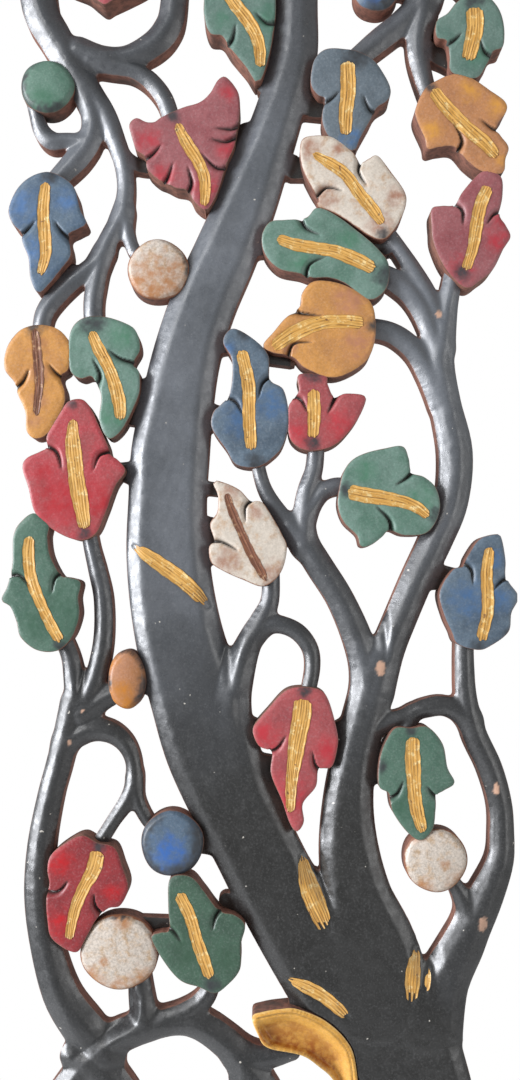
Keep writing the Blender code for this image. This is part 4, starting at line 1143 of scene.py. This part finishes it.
# soft spots of each paint's second colour: x, y, size
hazes = {
    "leafTopCentre": [(268, 20, 16), (222, 20, 10)],
    "leafRedWings": [(148, 140, 14), (165, 176, 14), (206, 188, 16), (228, 150, 12), (228, 92, 9)],
    "leafBlueLeft": [(22, 205, 16), (34, 250, 14), (66, 200, 12)],
    "leafOchreLeft": [(38, 345, 10), (40, 372, 10), (38, 400, 10), (34, 420, 8)],
    "leafGreenLeft": [(122, 335, 14), (112, 415, 14)],
    "leafRedLeft": [(60, 500, 26), (95, 500, 20), (45, 475, 12)],
    "leafGreenLowerLeft": [(60, 610, 22), (35, 625, 18)],
    "leafBlueTop": [(352, 138, 12)],
    "leafOchreTop": [(498, 105, 12), (470, 90, 12), (503, 160, 7), (432, 130, 12)],
    "leafGreenTop": [(480, 55, 12)],
    "leafRedRight": [(498, 240, 14), (460, 270, 14), (500, 222, 9)],
    "leafWhiteTop": [(310, 148, 12), (326, 196, 13), (380, 224, 13), (396, 196, 11), (338, 148, 7)],
    "leafGreenMiddle": [(300, 262, 14), (350, 240, 12)],
    "leafOchreMiddle": [(360, 345, 18), (350, 300, 16), (290, 345, 9)],
    "leafBlueCentre": [(240, 420, 16), (272, 405, 16), (226, 350, 10)],
    "leafRedCentre": [(340, 425, 15), (298, 432, 12)],
    "leafGreenHeart": [(365, 470, 12), (420, 500, 14)],
    "leafWhiteLower": [(274, 574, 13), (228, 562, 14), (234, 488, 10), (256, 512, 7)],
    "leafRedLower": [(264, 736, 17), (286, 798, 22), (328, 752, 15)],
    "leafGreenRight": [(400, 810, 14), (430, 815, 10)],
    "leafBlueRight": [(468, 600, 18), (500, 600, 12), (495, 560, 10)],
    "leafRedLowerLeft": [(60, 862, 14), (112, 893, 10), (60, 925, 14)],
    "leafGreenLow": [(190, 950, 20), (225, 960, 14)],
    "leafRedTip": [(100, -6, 12)],
}


def spotMark(x, y, spots, seed, soft):
    total = np.zeros(x.shape)
    for cx, cy, size in spots:
        reach = (np.hypot(x - cx, y - cy) / size + 0.28 * wander(x, y, 19, seed)
                 + 0.14 * wander(x, y, 6, seed + 4))
        total = np.maximum(total, 1 - fade(reach, soft, 1.5))
    return total


# a cut is bent away from the stalk, and the lobe on the stalk's side of it stands over it
def bendCut(cut, stalk):
    (ax, ay), (mx, my), (bx, by) = cut
    dx, dy = bx - ax, by - ay
    steep = np.sign(dx * (stalk[1] - ay) - dy * (stalk[0] - ax))
    bend = steep * leaf["cutBend"]
    return smoothLine([(ax, ay), (mx + bend * dy, my - bend * dx), (bx, by)], steps=9), steep


def carveLeaf(name, outline, vein, cuts, collars):
    spine = smoothLine(vein, steps=8)
    seed = outline[0][0] % 9 + 1
    stalk = collars[0][:2] if collars else spine[-1][:2]
    bentCuts = [bendCut(cut, stalk) for cut in cuts]

    def carve(x, y, out):
        inside = np.maximum(-out, 0)
        height = (leaf["face"] - rimDrop(inside, leaf["rimRadius"])
                  - leaf["rimEase"] * (1 - fade(inside, 0, leaf["easeReach"])))
        height = (height + leaf["uneven"] * wander(x, y, 48, seed)
                  + leaf["toolMarks"] * wander(x, y, 12, seed + 3))
        dark = np.zeros(x.shape)
        for groove, steep in bentCuts:
            far, side, share, none = nearLine(x, y, groove)
            gentle = leaf["cutSpread"] * (1 - 0.55 * share)
            slope = np.where(side == steep, np.clip(1 - far / leaf["steep"], 0, 1),
                             np.clip(1 - far / gentle, 0, 1) ** 1.7)
            height = height - leaf["cutDepth"] * (1 - 0.86 * share ** 1.4) * slope
            # painted shade: each cut is painted near black, widest on its gentle side at the rim
            edge = np.where(side == steep, 0.45, leaf["cutBlack"] * (1 - share) ** 0.7 + 0.35)
            dark = np.maximum(dark, (1 - fade(far, 0.45 * edge, 1.5 * edge + 0.3)) * (1 - 0.6 * share ** 4))
        far, side, share, (width,) = nearLine(x, y, spine)
        sunk = (1 - fade(far - width / 2, -1.4, 0.1)) * fade(share, 0.01, 0.07) * fade(1 - share, 0.01, 0.07)
        return np.clip(height - leaf["veinSink"] * sunk, leaf["lowest"], leaf["highest"]), {
            "rim": inside, "cut": dark, "smudge": spotMark(x, y, collars, seed + 6, 0.3),
            "hazeAndShade": spotMark(x, y, hazes[name], seed + 2, 0.1)}

    return carve


# each paint: tone, shade, second colour and what it has of its own
leafPaints = {
    "greenUpper": ("#637c72", "#557267", "#4a7460", {}),
    "greenMiddle": ("#6a867a", "#567768", "#4c7861", {}),
    "greenDeep": ("#526f60", "#466556", "#3b5c4a", {}),
    "greenDark": ("#456150", "#3d5647", "#35513f", {}),
    "bluePale": ("#5a6c7c", "#4f6378", "#4b6d98", {}),
    "blueSlate": ("#646f77", "#58636b", "#4a698e", {}),
    "blueMiddle": ("#5e6e7c", "#4b5a68", "#44658c", {}),
    "redHazy": ("#985b5e", "#8d4d51", "#a8343e", {}),
    "redMiddle": ("#ad4248", "#9f4a4c", "#a8242c", {}),
    "redDeep": ("#a65052", "#9a494c", "#b2303a", {}),
    "redDark": ("#943236", "#862e32", "#b4161e", {}),
    "ochreWorn": ("#c98f4a", "#bc8448", "#a87450", {}),
    "ochreBrown": ("#b67f54", "#ab764f", "#cb9040", {}),
    "ochreBright": ("#c68d4c", "#b8824c", "#ab755a", {}),
    "creamPaint": ("#d1c6b8", "#bd9f82", "#a07662",
                   {"cloud": 110.0, "low": 0.46, "high": 0.76, "rub": "#8a6048", "rubWidth": 0.7}),
    "fruitGreen": ("#5f7f70", "#527464", "#3f6a54", {}),
    "fruitCream": ("#cfc3b6", "#bda080", "#a8744a",
                   {"cloud": 125.0, "low": 0.43, "high": 0.74, "fleck": 0.45, "rub": "#86583f",
                    "rubWidth": 1.2}),
    "fruitOchre": ("#ae7a58", "#a77248", "#b87420", {}),
    "fruitBlue": ("#576a7c", "#4e6073", "#3763a6", {}),
}
paints = {name: makePaint(name, tone, shade, hazeAndShade, **own)
          for name, (tone, shade, hazeAndShade, own) in leafPaints.items()}

for name, (paint, outline, goldVein, cuts, collars) in leaves.items():
    ring = smoothLine(outline, steps=7, closed=True)
    vein = goldVein or brownVeins[name]
    carve = carveLeaf(name, outline, vein, cuts, collars)
    carvePlate(name, areaOf(ring), leaf["cell"], outsideRing(ring), carve, leaf["back"],
               [paints[paint], sawnWood, gold if goldVein else veinBrown], [vein])
print("leaves carved")

# fruit: paint, centre, half-width, half-height, hazes, dark rims of angle, spread and reach
fruit = {
    "cell": 1.3,
    "face": 31.0,
    "lowest": 6,
    "highest": 31.9,
    "dome": 3.2,
    "domePower": 2.2,
    "rimRadius": 5.0,
    "rimShare": 0.8,
    "uneven": 0.25,
    "threeLobed": 0.012,
    "fiveLobed": 0.01,
    "back": 0.9,
}
fruits = {
    "fruitTopLeft": ("fruitGreen", 46, 83, 27, 26.5, [(42, 100, 15)], [(185, 75, 6), (85, 40, 7)]),
    "fruitUpperCream": ("fruitCream", 157.5, 267.5, 31, 30.5, [(148, 290, 34), (174, 286, 32)],
        [(350, 25, 4)]),
    "fruitLeftOchre": ("fruitOchre", 126, 680, 19, 30, [(119, 696, 14), (111, 660, 8), (130, 706, 10)],
        [(30, 50, 7), (290, 50, 3), (170, 25, 4)]),
    "fruitBlue": ("fruitBlue", 171.5, 845, 31.5, 33, [(170, 853, 17)], [(30, 80, 14), (200, 60, 9),
        (110, 50, 8)]),
    "fruitLowerCream": ("fruitCream", 118.5, 954.5, 39, 38, [(90, 984, 15), (146, 986, 17), (118, 992, 12),
        (104, 962, 5), (122, 922, 9)], [(268, 22, 4)]),
    "fruitRightCream": ("fruitCream", 437, 862, 32, 32, [(445, 865, 5), (424, 892, 12), (462, 884, 13),
        (418, 836, 8)], []),
    "fruitTop": ("fruitBlue", 377, -17, 23, 24, [(377, -12, 12)], [(60, 60, 10)]),
}


def fruitRing(cx, cy, wide, tall):
    turn = np.linspace(0, 2 * math.pi, 90, endpoint=False)
    wobble = 1 + fruit["threeLobed"] * np.sin(3 * turn + cx) + fruit["fiveLobed"] * np.sin(5 * turn + cy)
    return np.column_stack([cx + wide * wobble * np.cos(turn), cy + tall * wobble * np.sin(turn)])


def carveFruit(cx, cy, wide, tall, spots, darkRims):
    def carve(x, y, out):
        inside = np.maximum(-out, 0)
        share = np.clip(np.hypot((x - cx) / wide, (y - cy) / tall), 0, 1)
        height = fruit["face"] - fruit["dome"] * share ** fruit["domePower"]
        height = height - fruit["rimShare"] * rimDrop(inside, fruit["rimRadius"])
        height = height + fruit["uneven"] * wander(x, y, 40, cx % 7)
        turned = np.degrees(np.arctan2(y - cy, x - cx))
        smudge = np.zeros(x.shape)
        for angle, spreadOut, reach in darkRims:
            off = np.abs((turned - angle + 180) % 360 - 180) / spreadOut
            band = (inside + 2.5 * wander(x, y, 11, cx % 5)) / reach
            smudge = np.maximum(smudge, (1 - fade(off, 0.6, 1.2)) * (1 - fade(band, 0.4, 1.3)))
        return np.clip(height, fruit["lowest"], fruit["highest"]), {
            "rim": inside, "cut": np.zeros(x.shape), "smudge": smudge,
            "hazeAndShade": spotMark(x, y, spots, cy % 5, 0.3)}

    return carve


for name, (paint, cx, cy, wide, tall, spots, darkRims) in fruits.items():
    ring = fruitRing(cx, cy, wide, tall)
    carve = carveFruit(cx, cy, wide, tall, spots, darkRims)
    carvePlate(name, areaOf(ring), fruit["cell"], outsideRing(ring), carve, fruit["back"],
               [paints[paint], sawnWood])
print("fruit carved")

# floor, light and camera
studio = {
    "floorHeight": -2.0,
    "floorSize": 3.8,
    "floorGrey": 0.8,
    "floorRoughness": 0.9,
    "backdrop": 1.0,
    "ambient": 0.40,
}
floorMesh = bmesh.new()
bmesh.ops.create_grid(floorMesh, x_segments=1, y_segments=1, size=studio["floorSize"] / 2)
bmesh.ops.translate(floorMesh, verts=floorMesh.verts, vec=(0, 0, studio["floorHeight"]))
floorData = bpy.data.meshes.new("floor")
floorMesh.to_mesh(floorData)
floorMesh.free()
floorPaint, floorTree, floorSockets, floorCoords = startMaterial("paleFloor", studio["floorRoughness"])
floorSockets["Base Color"].default_value = (studio["floorGrey"],) * 3 + (1,)
floorData.materials.append(floorPaint)
floor = bpy.data.objects.new("floor", floorData)
bpy.context.scene.collection.objects.link(floor)

world = bpy.data.worlds.new("paleStudio")
world.use_nodes = True
sky = world.node_tree.nodes["Background"].inputs
sky["Color"].default_value = (1, 1, 1, 1)
seen = node(world.node_tree, "ShaderNodeLightPath").outputs["Is Camera Ray"]
feed(world.node_tree, sky["Strength"],
     spread(world.node_tree, seen, 0.0, 1.0, studio["ambient"], studio["backdrop"]))
bpy.context.scene.world = world
bpy.context.scene.view_settings.view_transform = "Standard"

# soft lights: place, target, size, power, colour
softLights = {
    "keyLight": ((-2.2, -2.7, 1.6), (0, 0, -0.35), (1.6, 1.6), 29.0, (1, 1, 1)),
    "sideLight": ((-4.6, -1.95, 0.1), (0, 0, -0.35), (2.3, 3.2), 425.0, (0.93, 0.95, 1.0)),
    "fillLight": ((2.4, -1.4, -0.4), (0, 0, -0.5), (1.1, 2.2), 15.0, (1, 1, 1)),
}
for name, (place, target, size, power, colour) in softLights.items():
    light = bpy.data.lights.new(name, "AREA")
    light.shape = "RECTANGLE"
    light.size, light.size_y = size
    light.energy = power
    light.color = colour
    lamp = bpy.data.objects.new(name, light)
    lamp.location = place
    lamp.rotation_euler = (Vector(target) - Vector(place)).to_track_quat("-Z", "Y").to_euler()
    bpy.context.scene.collection.objects.link(lamp)

view = {
    "place": (0.007, -1.122, -0.434),
    "sensor": 36,
    "lens": 36.33,
    "shiftX": -0.0046,
    "shiftY": 0.0556,
}
cameraData = bpy.data.cameras.new("photoCamera")
cameraData.sensor_width = view["sensor"]
cameraData.sensor_fit = "AUTO"
cameraData.lens = view["lens"]
cameraData.shift_x = view["shiftX"]
cameraData.shift_y = view["shiftY"]
camera = bpy.data.objects.new("photoCamera", cameraData)
camera.location = view["place"]
camera.rotation_euler = (math.pi / 2, 0, 0)
bpy.context.scene.collection.objects.link(camera)
bpy.context.scene.camera = camera
print("light and camera set")
